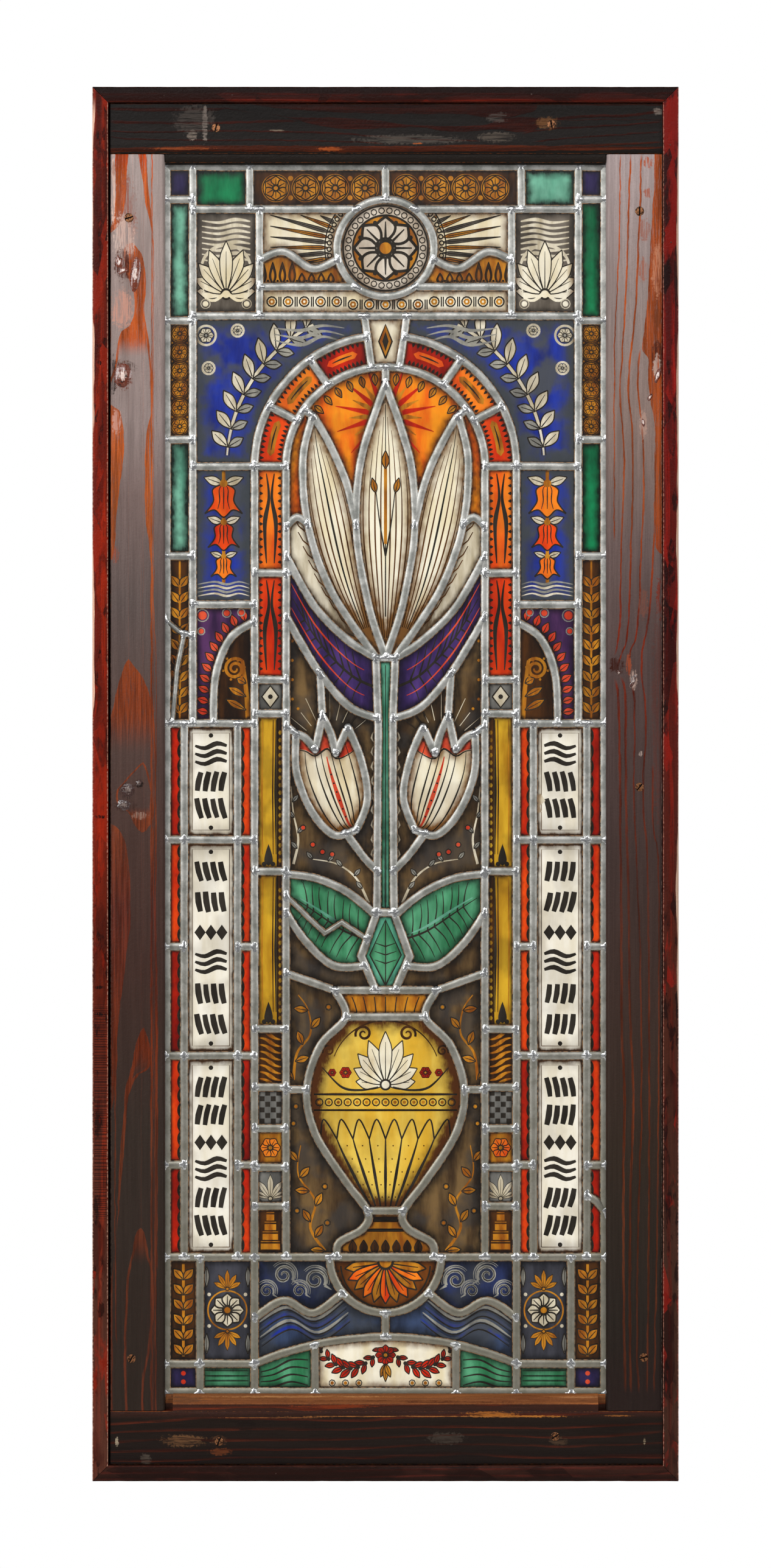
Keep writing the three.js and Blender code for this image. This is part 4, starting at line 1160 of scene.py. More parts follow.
LOOKS = [math.tau * k / 48 for k in range(48)]  # the ways in which a joint looks for its leads
dice = random.Random(SEED)
vertices, faces = [], []
for joint in joints:
    around = [joint + Vector((math.cos(a), math.sin(a))) * 6 for a in LOOKS]
    covered = lead_distance([tuple(spot) for spot in around]) < -1.2
    lobes = [look for look, over_lead in zip(LOOKS, covered) if over_lead]
    lengths = {k: dice.uniform(0.6, 2.6) for k in range(8)}
    for face, turns, rings in ((1, 22, (0.4, 0.68, 0.88, 1.0)), (-1, 11, (0.55, 1.0))):
        outer = []
        for k in range(turns):
            angle = math.tau * k / turns
            near = min((abs((angle - lobe + math.pi) % math.tau - math.pi) for lobe in lobes), default=3)
            tongue = lengths[round(angle / math.tau * 8) % 8] * math.exp(-(near / 0.3) ** 2)
            outer.append(SOLDER_RADIUS + tongue + 0.5 * noise.noise(Vector((joint.x, joint.y, angle * 2))))
        lump = dice.uniform(0.25, 0.6)
        spots = [joint] + [joint + Vector((math.cos(math.tau * k / turns), math.sin(math.tau * k / turns)))
                           * outer[k] * share for share in rings for k in range(turns)]
        gaps = lead_distance([tuple(spot) for spot in spots], reach=1.0)
        first = len(vertices)
        for k, (spot, gap) in enumerate(zip(spots, gaps)):
            share = 0 if k == 0 else rings[(k - 1) // turns]
            bed = crown(gap / 3) - (0.35 if gap > 3 else 0)
            rough = 0.12 * noise.noise(Vector((spot.x, spot.y, 5)) * 0.9)
            height = bed + lump * (1 - share ** 2) - 0.14 * share ** 4 + rough * (1 - share)
            moved = hand_bent(spot)
            vertices.append(at(moved.x, moved.y, PANEL_DEPTH + face * height))
        foot = hand_bent(joint)
        vertices.append(at(foot.x, foot.y, PANEL_DEPTH + face * 1.2))
        made = mound_faces(first, turns, len(rings))
        faces += made if face > 0 else [side[::-1] for side in made]
solder_joints = mesh_object("solder_joints", vertices, faces, [solder], sharp=60)
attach(solder_joints, "root")


# ---- Painted glass ------------------------------------------------------------------------
# Every pane is a 3 mm sheet cut to its groove in the cames. Its colour is in the glass, and the
# painter has brushed a dark matt along the leads and fired fine trace lines over it. The colour
# shows through to the back.
GLASS_FRONT, GLASS_BACK = PANEL_DEPTH + GLASS_HALF, PANEL_DEPTH - GLASS_HALF
GRAIN = 3.4  # spacing of the points that carry the brushed matt
ROW_RISE = GRAIN * 0.87  # from one staggered row of them to the next


def glass(name, pale, deep, matt="1c120b", reach=5.0, strength=0.95, opaque=0.0, streaky=0.08, smoke=0.2,
          wash=None):
    """Glass that runs from one colour to another, with clouds of a thin wash, and a matt brushed
    in from the leads that ends nearly black."""
    made, tree, shader = material(name, 0.28, Transmission_Weight=0.92 - opaque, IOR=1.45,
                                  Specular_IOR_Level=0.12)
    place = in_millimetres(tree)
    upward = scaled(place, 1.0, 1.0, 0.22)
    streaks = clouds(upward, streaky, 4.0, 0.6)
    colour = mix(fade(streaks, 0.36, 0.66), tint(pale), tint(deep))
    brushed = clouds(upward, 0.9, 3.0, 0.7)
    cloud = times(fade(clouds(place, 0.035, 3.0, 0.55), 0.44, 0.60), smoke)
    colour = mix(cloud, colour, tint(wash or matt))
    edge = measured(tree, "edge")
    uneven = times(clouds(place, 0.13, 2.0), reach * 1.1)
    rim = fade(plus(edge, uneven), reach * 1.9, reach * 0.4)
    dark = plus(times(rim, strength), measured(tree, "shade"))
    dark = times(dark, plus(times(brushed, 0.9), 0.55), use_clamp=True)
    colour = mix(dark, colour, tint(matt))
    last = plus(edge, times(clouds(place, 0.3, 3.0), 2.4))
    colour = mix(times(fade(last, 3.1, 1.2), 0.85), colour, tint("15100c"))
    specks = fade(clouds(place, 0.75, 4.0, 0.75), 0.63, 0.72)
    colour = mix(times(specks, 0.35), colour, tint(matt))
    ripple = plus(clouds(upward, 0.12, 2.0), times(brushed, 0.05))
    dress(shader, colour, None, ripple, 0.6, 0.0012)
    return made


def cut_line(name):
    """The outline of a pane's front, anticlockwise, in the window's millimetres."""
    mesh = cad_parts[name].data
    spots = [(round(v.co.x / MM, 3), round(v.co.z / MM + ORIGIN_HEIGHT, 3), -v.co.y / MM)
             for v in mesh.vertices]
    onward = {}
    for face in mesh.polygons:
        corners = [spots[k] for k in face.vertices]
        if all(abs(corner[2] - GLASS_FRONT) < 0.01 for corner in corners):
            for a, b in zip(corners, corners[1:] + corners[:1]):
                if onward.get(b[:2]) and a[:2] in onward[b[:2]]:
                    onward[b[:2]].remove(a[:2])
                else:
                    onward.setdefault(a[:2], []).append(b[:2])
    onward = {a: ends[0] for a, ends in onward.items() if ends}
    start = next(iter(onward))
    line = [start]
    while onward[line[-1]] != start:
        line.append(onward[line[-1]])
    return resampled([Vector(point) for point in line], GRAIN)


def inside(spots, outline):
    """Which of the spots are inside the outline."""
    x, y = spots.T
    odd = np.zeros(len(spots), bool)
    for a, b in zip(outline, outline[1:] + outline[:1]):
        if a.y != b.y:
            odd ^= ((a.y > y) != (b.y > y)) & (x < (b.x - a.x) * (y - a.y) / (b.y - a.y) + a.x)
    return odd


def topmost(centres, shapes):
    """The number of the shape that lies over each spot, 0 for the bare ground."""
    found = np.zeros(len(centres), int)
    for number, (shape, _) in enumerate(shapes, 1):
        shape = [Vector(point) for point in shape]
        corners = np.array([tuple(point) for point in shape])
        near = np.flatnonzero(((centres > corners.min(0)) & (centres < corners.max(0))).all(1))
        found[near[inside(centres[near], shape)]] = number
    return found


def pane(name, ground, shapes=(), shade=None):
    """Cuts one pane and paints it: a ground glass, the shapes one over another, each (points,
    glass), and shade(x, y), the strength of the brushed matt."""
    outline = cut_line(name)
    if (outline[0] - outline[-1]).length < 0.01:
        outline.pop()
    paints = list(dict.fromkeys([ground] + [paint for _, paint in shapes]))
    corners = np.array([tuple(point) for point in outline])
    (left, foot), (right, head) = corners.min(0), corners.max(0)
    rows = np.arange(foot, head, ROW_RISE)
    grid = np.array([(x, y) for i, y in enumerate(rows)
                     for x in np.arange(left + (i % 2) * GRAIN / 2, right, GRAIN)])
    grid = grid[inside(grid, outline)]
    points = list(outline)
    polygons = [list(range(len(outline)))]
    for shape, _ in shapes:
        polygons.append(list(range(len(points), len(points) + len(shape))))
        points += [Vector(point) for point in shape]
    points += [Vector(point) for point in grid]
    flat, _, faces, _, _, sources = delaunay_2d_cdt(points, [], polygons, 1, 0.01, True)
    faces = [face for face, source in zip(faces, sources) if 0 in source]
    centres = np.array([tuple(sum((flat[k] for k in face), Vector((0, 0))) / len(face))
                        for face in faces])
    kept = list(zip(faces, topmost(centres, shapes)))
    used = sorted({k for face, _ in kept for k in face})
    number = {k: i for i, k in enumerate(used)}
    front = [tuple(number[k] for k in face) for face, _ in kept]
    chosen = [paints.index(shapes[top - 1][1] if top else ground) for _, top in kept]
    flat = [flat[k] for k in used]
    sides = {(a, b) for face in front for a, b in zip(face, face[1:] + face[:1])}
    onward = {a: b for a, b in sides if (b, a) not in sides}
    rim = [next(iter(onward))]
    while onward[rim[-1]] != rim[0]:
        rim.append(onward[rim[-1]])
    count = len(flat)
    vertices = [at(p.x, p.y, GLASS_FRONT) for p in flat] + [at(p.x, p.y, GLASS_BACK) for p in flat]
    faces = front + [(onward[k], k, k + count, onward[k] + count) for k in rim]
    faces += [tuple(k + count for k in reversed(face)) for face in front]
    made = mesh_object(f"painted_{name.removeprefix('glass_')}", vertices, faces, paints,
                       chosen + [0] * len(rim) + chosen)
    spots = np.array([tuple(p) for p in flat])
    edges = np.tile(lead_distance(spots), 2)
    dark = np.tile(shade(*spots.T), 2) if shade else np.zeros(len(vertices))
    for label, values in (("edge", edges), ("shade", dark)):
        made.data.attributes.new(label, "FLOAT", "POINT").data.foreach_set("value", values)
    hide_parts(name)
    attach(made, "root")


def pair(name, ground, design, shade=None):
    """A pane and its twin. The design is drawn for the right. It is a list of shapes, or a
    function that takes the side, 1 or -1, and gives one."""
    for side, suffix in ((1, "right"), (-1, "left")):
        shapes = design(side) if callable(design) else design
        if side < 0:
            shapes = [(mirrored(points)[::-1], paint) for points, paint in shapes]
        pane(f"glass_{name}_{suffix}", ground, shapes,
             (lambda x, y, side=side: shade(side * x, y)) if shade else None)


def both(shapes):
    return shapes + [(mirrored(points)[::-1], paint) for points, paint in shapes]


def block(left, foot, right, head, paint):
    return [([(left, foot), (right, foot), (right, head), (left, head)], paint)]


BRUSH = 1.4  # how much fuller a brush stroke is than the width it is drawn with


def stroke(points, paint, *widths):
    """A brush stroke along the points, its widths spread evenly along it."""
    points = [Vector(point) for point in points]
    widths = widths if len(widths) > 1 else (widths[0], widths[0])
    last = len(points) - 1
    left, right = [], []
    for i, point in enumerate(points):
        run = (points[min(i + 1, last)] - points[max(i - 1, 0)]).normalized()
        k = min(int(i / last * (len(widths) - 1)), len(widths) - 2)
        share = i / last * (len(widths) - 1) - k
        reach = Vector((-run.y, run.x)) * (widths[k] * (1 - share) + widths[k + 1] * share) * BRUSH / 2
        left.append(point + reach)
        right.append(point - reach)
    return [((right[i], right[i + 1], left[i + 1], left[i]), paint) for i in range(last)]


def disc(x, y, radius, paint):
    parts = max(8, round(radius * 4))
    angles = [math.tau * k / parts for k in range(parts)]
    return [([(x + radius * math.cos(a), y + radius * math.sin(a)) for a in angles], paint)]


def ring(x, y, radius, paint, width):
    return stroke(arc(x, y, radius, 0, 360, 2.2), paint, width)


def heading(angle):
    """The direction at an angle in degrees."""
    return Vector((math.cos(math.radians(angle)), math.sin(math.radians(angle))))


def bearing(way):
    """The angle in degrees of a direction."""
    return math.degrees(math.atan2(way.y, way.x))


def petal(base, angle, length, width, paint, line=None, full=0.55, thick=0.5):
    """A pointed petal or leaf, with an outline and a midrib where a line colour is given."""
    run = heading(angle)
    side = Vector((-run.y, run.x)) * width / 2
    base = Vector(base)
    tip = base + run * length
    step = max(0.9, length / 10)
    left, right = (curve([base, base + run * length * full * 0.5 + swell * 0.8,
                          base + run * length * full + swell,
                          base + run * length * (full + 1) / 2 + swell * 0.62, tip], step)
                   for swell in (side, -side))
    shapes = [(right[:-1] + left[:0:-1], paint)]
    if line:
        shapes += stroke(left, line, thick) + stroke(right, line, thick)
        shapes += stroke([base + run * length * 0.1, base + run * length * 0.8], line, thick, thick * 0.4)
    return shapes


def rosette(x, y, radius, count, paint, heart, turn=0.0):
    shapes = []
    for k in range(count):
        angle = turn + 360 * k / count
        base = Vector((x, y)) + heading(angle) * radius * 0.2
        shapes += petal(base, angle, radius * 0.8, radius * 5.0 / count, paint, trace, 0.62, radius * 0.06)
    return shapes + disc(x, y, radius * 0.27, trace) + disc(x, y, radius * 0.19, heart)


def even(points, count):
    """The same line with evenly spread points."""
    lengths = [0.0]
    for a, b in zip(points, points[1:]):
        lengths.append(lengths[-1] + (b - a).length)
    made, k = [], 0
    for goal in (lengths[-1] * i / (count - 1) for i in range(count)):
        while k < len(points) - 2 and lengths[k + 1] < goal:
            k += 1
        made.append(points[k].lerp(points[k + 1], (goal - lengths[k]) / (lengths[k + 1] - lengths[k])))
    return made


LINE_STEPS = 40


def between(first, second, share, start, end):
    """A line that runs between two others, share of the way across, from start to end."""
    first, second = even(first, LINE_STEPS + 1), even(second, LINE_STEPS + 1)
    span = range(round(start * LINE_STEPS), round(end * LINE_STEPS) + 1)
    return [first[k].lerp(second[k], share) for k in span]


def veins(first, second, count, thick=0.9):
    """The midrib between two edges of a leaf, and the veins that leave it."""
    start, end, lean = 0.12, 0.9, 0.09
    shapes = stroke(between(first, second, 0.5, 0.02, end), trace, thick * 1.5, thick, thick * 0.4)
    for k in range(count):
        t = start + (end - start - lean) * k / count
        for share in (0.12, 0.88):
            spots = [between(first, second, s, u, u + 0.03)[0] for s, u in (
                (0.5, t), (0.5 + (share - 0.5) * 0.55, t + lean * 0.7), (share, t + lean))]
            shapes += stroke(curve(spots, 2.0), trace, thick, thick * 0.35)
    return shapes


trace = glass("trace_paint", "3a352f", "2a2621", "1c1713", opaque=0.92, strength=0.5)
cream = glass("cream_glass", "faf2dc", "e6d6ae", "6a4a2c", reach=5.5, smoke=0.12)
brown = glass("brown_glass", "54300f", "24150a", "0f0a07", reach=3.0)
amber = glass("amber_glass", "d08a20", "8e4a0c", "241206", reach=2.6, smoke=0.3, streaky=0.14)
emerald = glass("emerald_glass", "148a54", "04603a", "08140e", reach=6.5, strength=1.1)
sea_green = glass("sea_green_glass", "84c8aa", "569c80", "0e1a14", reach=7.0, strength=1.15, smoke=0.3)
night_purple = glass("night_purple_glass", "352a58", "1d1638", "0d0a10")
silver = glass("silver_glass", "e2d6c4", "b8a690", "4c3826", reach=5.5)
pale_wash = glass("pale_wash", "eae0c8", "b8aa8c", "4e3c28", reach=4.0, streaky=0.12)
grey_ground = glass("grey_ground_glass", "7a7064", "4e463c", "241e18", reach=5.0, smoke=0.5)


def half_way(lead_line, edge_line):
    """The middle of the glass between a lead and the wide came at the edge."""
    return (lead_line + CAME_WIDTH / 2 + edge_line - EDGE_CAME_WIDTH / 2) / 2


def border_design(side):
    x = half_way(BORDER_X, EDGE_X)
    green = emerald if side > 0 else sea_green
    shapes = block(BORDER_X, 984, EDGE_X, EDGE_HEAD, night_purple)
    for foot, head in ((884, 984), (690, 786)):
        shapes += block(BORDER_X, foot, EDGE_X, head, green)
    for y in (797 + 15.3 * k for k in range(6)):
        shapes += disc(x, y, 7.5, amber) + ring(x, y, 6.9, trace, 0.45)
        shapes += rosette(x, y, 6.2, 6, amber, amber)
        for across in (-6.4, 6.4):
            shapes += disc(x + across, y + 7.65, 0.9, amber)
    shapes += stroke([(x, 556), (x, 686)], amber, 1.2)
    for y in (560 + 13 * k for k in range(9)):
        for turn in (54, 126):
            shapes += petal((x, y), turn, 13, 7, amber, trace, 0.5, 0.6)
        shapes += disc(x, y + 1, 1.5, amber)
    return shapes


def frieze_head_design(side):
    y = half_way(FRIEZE_HEAD, EDGE_HEAD)
    shapes = block(112, FRIEZE_HEAD, BORDER_X, EDGE_HEAD, emerald if side < 0 else sea_green)
    for x in (17, 41.5, 66, 90.5):
        shapes += disc(x, y, 11.6, amber) + ring(x, y, 10.6, trace, 0.6)
        shapes += rosette(x, y, 9.8, 6, amber, amber, 30)
        for rise in (-8, 8) if x > 17 else ():
            shapes += disc(x - 12.2, y + rise, 2.2, amber)
    return shapes


def fan_design():
    hub = Vector((0, ROUNDEL_Y))
    shapes = []
    for k in range(12):
        angle = math.radians(-10 + 5.2 * k)
        run = Vector((math.cos(angle), math.sin(angle)))
        reach = min(100 / run.x, 29 / max(0.01, run.y))
        shapes += petal(hub + run * 47, math.degrees(angle), reach - 52, 3.4,
                        grey_ground if k % 2 else amber, trace, 0.2, 0.4)
    for k in range(11):
        spot = arc(0, ROUNDEL_Y, 46.5, -14 + 6.4 * k, 0)[0]
        shapes += disc(*spot, 2.3, trace) + disc(*spot, 1.3, cream)
    shapes += stroke(arc(0, ROUNDEL_Y, 50, -16, 52), trace, 0.7)
    shapes += [([(24, 912), (104, 912), (104, 934), (84, 941), (72, 934), (60, 927), (48, 928),
                 (39, 935), (30, 925)], amber)]
    for x in (45 + 8 * k for k in range(8)):
        tall = 9 + 9 * (x > 70)
        shapes += petal((x, 914.5), 90, tall, 5.6, brown, trace, 0.4)
        shapes += petal((x, 916), 90, tall * 0.6, 2.4, amber) + disc(x + 4, 917, 0.9, trace)
    shapes += stroke(curve([(39, 932), (60, 924.5), (84, 938), (104, 931)]), trace, 0.7)
    return shapes


def palmette(x, y, size, paint, count, spread, rise=90):
    """A fan of leaves over a small heart."""
    shapes = []
    for k in range(count // 2, -1, -1):
        for turn in {k * spread, -k * spread}:
            length = size * (1 - 0.11 * k)
            shapes += petal((x, y), rise + turn, length, size * 0.24, paint, trace, 0.66, size * 0.013)
    return shapes + disc(x, y, size * 0.11, trace) + disc(x, y, size * 0.075, paint)


def frieze_leaf_design():
    x = (104 + BORDER_X) / 2
    shapes = stroke(arc(x, 926, 20.5, -40, 220), pale_wash, 1.2, 2.2, 1.2)
    for k in range(8):
        y = 966 - 4.6 * k
        shapes += stroke(curve([(x - 20, y), (x - 8, y + 1.6), (x + 6, y - 1), (x + 20, y + 0.6)]),
                         pale_wash, 0.8, 2.4, 1.6, 0.6)
    shapes += palmette(x, 906, 44, cream, 9, 21)
    for hand in (-1, 1):
        shapes += stroke(curve([(x, 908), (x + hand * 9, 901), (x + hand * 17, 903), (x + hand * 19, 911)]),
                         cream, 2.2, 1.8, 0.6)
        shapes += disc(x + hand * 17, 898, 2.4, cream) + ring(x + hand * 17, 898, 3.9, pale_wash, 0.5)
    return shapes


def roundel_design():
    shapes = disc(0, ROUNDEL_Y, 27, amber)
    for radius, thick in ((27, 1.1), (35, 0.9)):
        shapes += ring(0, ROUNDEL_Y, radius, trace, thick)
    for k in range(30):
        angle = math.tau * k / 30
        shapes += ring(31 * math.cos(angle), ROUNDEL_Y + 31 * math.sin(angle), 2.4, trace, 0.6)
    shapes += rosette(0, ROUNDEL_Y, 26, 8, silver, amber)
    for k in range(8):
        angle = math.radians(22.5 + 45 * k)
        shapes += disc(22.5 * math.cos(angle), ROUNDEL_Y + 22.5 * math.sin(angle), 1.8, trace)
    return shapes + ring(0, ROUNDEL_Y, 8.4, trace, 0.8)


def bead_bar_design():
    shapes = []
    for k in range(-7, 8):
        x, y = 13.4 * k, 897.5 + (abs(k) > 2) * 2.3
        shapes += ring(x, y, 4.0, trace, 0.8) + ring(x, y, 2.0, amber, 1.2)
        for across in (5.9, 7.5) if k < 7 else ():
            shapes += stroke([(x + across, y - 4), (x + across, y + 4)], trace, 0.7)
    return shapes


pair("border", brown, border_design)
pair("frieze_head", brown, frieze_head_design)
pair("fan", cream, fan_design())
pair("frieze_leaf", grey_ground, frieze_leaf_design())
pane("glass_roundel", silver, roundel_design())
pane("glass_bead_bar", cream, bead_bar_design())


# ---- Arch, columns and side panes ---------------------------------------------------------
# Cobalt panes with sprays in grey wash stand round an arch and two columns of flashed red and
# amber glass. The short blocks between the shafts are painted all over.
cobalt = glass("cobalt_glass", "2238a2", "142274", "3e4246", reach=13.0, strength=1.15, smoke=0.95,
               wash="4a4d52")
grey_wash = glass("grey_wash", "b4b0a2", "7e7c76", "3f3d3a", opaque=0.25, strength=0.6)
red = glass("red_glass", "d42604", "860c00", "1e0402", reach=2.8, smoke=0.3, streaky=0.05)
ember = glass("ember_glass", "f6500a", "bc1c02", "2c0804", reach=2.6, streaky=0.05)
orange = glass("orange_glass", "fc8a1c", "e23e06", "3a1206", reach=2.8, streaky=0.05)
rose_red = glass("rose_red_glass", "e85a38", "c02c14", "380e08", reach=3.2)
block_grey = glass("block_grey_glass", "7c7a74", "54524e", "1c1a18", reach=2.6)
column_gold = glass("column_gold_glass", "dcae2a", "a06c0e", "241206", reach=3.6, streaky=0.05,
                    smoke=0.35)
plum = glass("plum_glass", "5c3462", "331c40", "140b14", reach=5.0)


def spandrel_design():
    shapes = stroke(arch(131, 4, 63), pale_wash, 1.0, 2.6, 1.6)
    for radius, end in ((132.6, 63), (129.4, 60)):
        shapes += stroke(arch(radius, 4, end), trace, 0.4)
    for k in range(9):
        turn = 7 + 6.6 * k
        root = arch(131, turn, turn)[0]
        shapes += petal(root, turn + 38, 19 + k * 0.7, 9, pale_wash, trace, 0.6, 0.7)
        shapes += petal(root, turn + 142, 15, 7.4, grey_wash, trace, 0.6, 0.7)
    for x, y, size in ((148, 872, 8), (146, 845, 5), (122, 876, 5)):
        shapes += ring(x, y, size, pale_wash, 1.4)
        shapes += rosette(x, y, size * 0.8, 6, pale_wash, grey_wash)
    for k in range(3):
        shapes += stroke(curve([(34, 866 + 6 * k), (52, 871 + 4.5 * k), (70, 864 + 6 * k),
                                (92, 868 + 5 * k)]), grey_wash, 0.4, 2.4, 0.4)
    return shapes


def bell(x, y, size, paint):
    """A hanging bellflower."""
    left = curve([(x, y), (x - size * 0.36, y - size * 0.2), (x - size * 0.34, y - size * 0.6),
                  (x - size * 0.62, y - size)], 1.5)
    right = [Vector((2 * x - p.x, p.y)) for p in left]
    mouth = curve([left[-1], (x - size * 0.3, y - size * 0.88), (x, y - size * 1.12),
                   (x + size * 0.3, y - size * 0.88), right[-1]], 1.5)
    shapes = [(left + mouth[1:-1] + right[:0:-1], paint)]
    for edge in (left, right, mouth):
        shapes += stroke(edge, trace, 0.8)
    for share in (0.3, 0.5, 0.7):
        shapes += stroke(between(left, right, share, 0.15, 0.85), trace, 0.3, 0.7, 0.3)
    return shapes


def sky_design():
    x = (COLUMN_OUT + BORDER_X) / 2
    shapes = stroke([(x, 762), (x, 668)], amber, 2.0)
    for y, size in ((750, 25), (718, 21), (690, 17)):
        for turn in (20, 160):
            shapes += petal((x, y - 1), turn, size * 0.7, size * 0.3, pale_wash, trace, 0.55, 0.6)
        shapes += bell(x, y, size, ember if y == 718 else orange)
        shapes += disc(x, y, size * 0.13, amber)
    for k in range(4):
        y = 657 + 3.2 * k
        shapes += stroke(curve([(112, y), (121, y + 2.2), (131, y), (141, y + 2.2), (155, y)]),
                         grey_wash if k % 2 else pale_wash, 0.4, 1.5, 0.4)
    return shapes


def crozier(x, y, size, turns, start, paint, hand=1):
    """The curled tip of a fern: a stroke that winds in on itself and thins."""
    steps = round(18 * turns)
    points = []
    for k in range(steps + 1):
        angle = math.radians(start) + hand * math.tau * turns * k / steps
        reach = size * (1 - 0.84 * k / steps)
        points.append(Vector((x + reach * math.cos(angle), y + reach * math.sin(angle))))
    return points, stroke(points, paint, size * 0.2, size * 0.22, size * 0.1)


def side_scroll_design():
    shapes = [([(COLUMN_OUT, INSCRIPTION_HEAD)] + SCROLL_EDGE[::-1], brown)]
    for spot in even(SCROLL_EDGE, 13)[1:-1]:
        out = Vector((spot.x - 104, (spot.y - 548) * 0.62)).normalized()
        shapes += petal(spot + out * 4, bearing(out), 11, 6.2, rose_red, trace, 0.5, 0.6)
    for x, y, size in ((151, 641, 5), (119, 643.5, 3), (131, 643, 3.6), (152, 628, 3)):
        shapes += disc(x, y, size * 0.72, rose_red) + ring(x, y, size, grey_wash, 0.7)
    stem = curve([(113, 556), (115, 580), (118, 604)])
    eye = (124.2, 597)
    curl, curled = crozier(*eye, 9, 1.9, 132, amber, -1)
    shapes += stroke(stem, amber, 3.4, 1.9) + curled
    for y, length in ((563, 19), (574, 17), (585, 9)):
        shapes += petal((115, y), 28, length, 6, amber, trace, 0.6, 0.6)
    for spot in curl[4:20:3]:
        out = (spot - Vector(eye)).normalized()
        shapes += disc(*(spot + out * 2.6), 1.1, amber)
    return shapes


def drum(foot, head, paint):
    """One pane's height of the column."""
    return block(COLUMN_IN, foot, COLUMN_OUT, head, paint)


def arch_sector(start, end, paint):
    return [(arch(COLUMN_OUT + 3, start, end)
             + arch(COLUMN_IN - 3, end, start), paint)]


def shaft(foot, head, paint):
    """A column shaft: soft vertical flutes, a dark side and a spearhead at the foot."""
    shapes = block(COLUMN_IN, foot, COLUMN_IN + 7.4, head, brown)
    for x, thick, paint_over in ((90.2, 1.6, trace), (92.6, 0.8, brown), (101.4, 0.7, amber)):
        shapes += stroke([(x, head - 5), (x + 0.5, (foot + head) / 2), (x, foot + 14)],
                         paint_over, 0.4, thick, 0.4)
    x = 96.5
    shapes += petal((x, foot + 4.5), 90, 18, 7, trace, None, 0.3)
    for across in (-3.6, 3.6):
        shapes += disc(x + across, foot + 6, 2, trace)
    for y in (foot + 9 + 6.2 * k for k in range(int((head - foot - 14) / 6.2))):
        shapes += petal((88.4, y), 180, 3.6, 3.8, paint, None, 0.4)
    return shapes


def column_design():
    x = (COLUMN_IN + COLUMN_OUT) / 2
    shapes = []
    for start, end, paint in ((-1, 27.3, ember), (27.3, 54.7, orange), (54.7, 84, red)):
        shapes += arch_sector(start, end, paint)
        first, last = max(start, 0) + 5, min(end, 80) - 4
        tips = even(arch(95.5, first, last), 5)
        inner = arch(92.5, first + 2, last - 2, 2) + [tips[-1]]
        outer = arch(98.5, last - 2, first + 2, 2) + [tips[0]]
        shapes += [(inner[::-1] + outer[::-1], orange if paint is red else amber)]
        shapes += stroke(arch(95.5, first + 3, last - 3), trace, 0.3, 1.0, 0.3)
        for radius, turned in ((86.2, 0), (104.2, 180)):
            for k in range(9):
                spot = arch(radius, first - 1 + k * (last - first + 2) / 8, 0)[0]
                turn = bearing(spot - Vector((0, SPRINGING))) + turned
                shapes += petal(spot, turn, 3.8, 2.4, trace, None, 0.3)
    shapes += drum(676, SPRINGING, orange)
    shapes += drum(588, 676, ember)
    for foot, head in ((676, 764), (588, 676)):
        for across, lean in ((-3.2, 1), (3.2, -1)):
            shapes += stroke(curve([(x + across, head - 6), (x + across + lean * 2, head - 26),
                                    (x + across - lean * 1.4, head - 48), (x + across, foot + 8)]),
                             trace, 0.5, 2.6, 0.5)
        for k in range(12):
            for across, turn in ((-9, 0), (9, 180)):
                shapes += petal((x + across, foot + 9 + 6.3 * k), turn, 3, 2.8, trace, None, 0.3)
    shapes += drum(560, 588, block_grey)
    lozenge = [(x - 7, 574), (x, 565), (x + 7, 574), (x, 583)]
    shapes += [(lozenge, pale_wash)] + stroke(lozenge + lozenge[:1], trace, 0.9) + disc(x, 574, 2, trace)
    for foot, head in ((430, 560), (300, 430)):
        shapes += drum(foot, head, column_gold) + shaft(foot, head, column_gold)
    for k in range(9):
        y = 252 + 5.6 * k
        shapes += stroke(curve([(86, y), (91, y + 1), (99, y + 6), (104, y + 7)]), amber, 0.6, 2.4, 0.6)
    shapes += drum(218, 252, block_grey)
    for i in range(4):
        for j in range(6):
            if (i + j) % 2:
                shapes += block(86 + 4.6 * i, 222 + 4.6 * j, 90 + 4.6 * i, 226 + 4.6 * j, trace)
    shapes += drum(186, 218, amber) + rosette(x, 202, 8.6, 6, orange, amber)
    shapes += drum(154, 186, block_grey)
    shapes += palmette(x, 160, 20, pale_wash, 5, 34)
    for k in range(4):
        left, right, y = 87 + 1.6 * k, 103 - 1.6 * k, 118 + 8 * k
        shapes += block(left, y, right, y + 5, amber)
        shapes += stroke([(left, 124.6 + 8 * k), (right, 124.6 + 8 * k)], amber, 0.5)
    return shapes


def keystone_design():
    corners = [(0, 853), (5.5, 867), (0, 881), (-5.5, 867)]
    inner = [(0, 859), (2.6, 867), (0, 875), (-2.6, 867)]
    return [(corners, amber)] + stroke(corners + corners[:1], trace, 0.9) + [(inner, trace)]


pair("spandrel", cobalt, spandrel_design())
pair("sky", cobalt, sky_design())
pair("side_scroll", plum, side_scroll_design())
pair("column", brown, column_design())
pane("glass_keystone", cream, keystone_design())


# ---- Inscription blocks -------------------------------------------------------------------
# Beside each column stand three tall cream panes with rows of brushed dabs in place of the
# words, between narrow strips of red glass with scalloped edges.
def scallops(x, foot, head, hand):
    """Dark half discs in a row along an upright line."""
    depth = 2.8
    count = round((head - foot) / 12)
    size = (head - foot) / count
    shapes = []
    for k in range(count):
        y = foot + size * (k + 0.5)
        swell = [(x + hand * depth * math.sin(a), y - size * 0.47 * math.cos(a))
                 for a in (math.pi * step / 8 for step in range(9))]
        shapes.append((swell if hand > 0 else swell[::-1], trace))
    return shapes


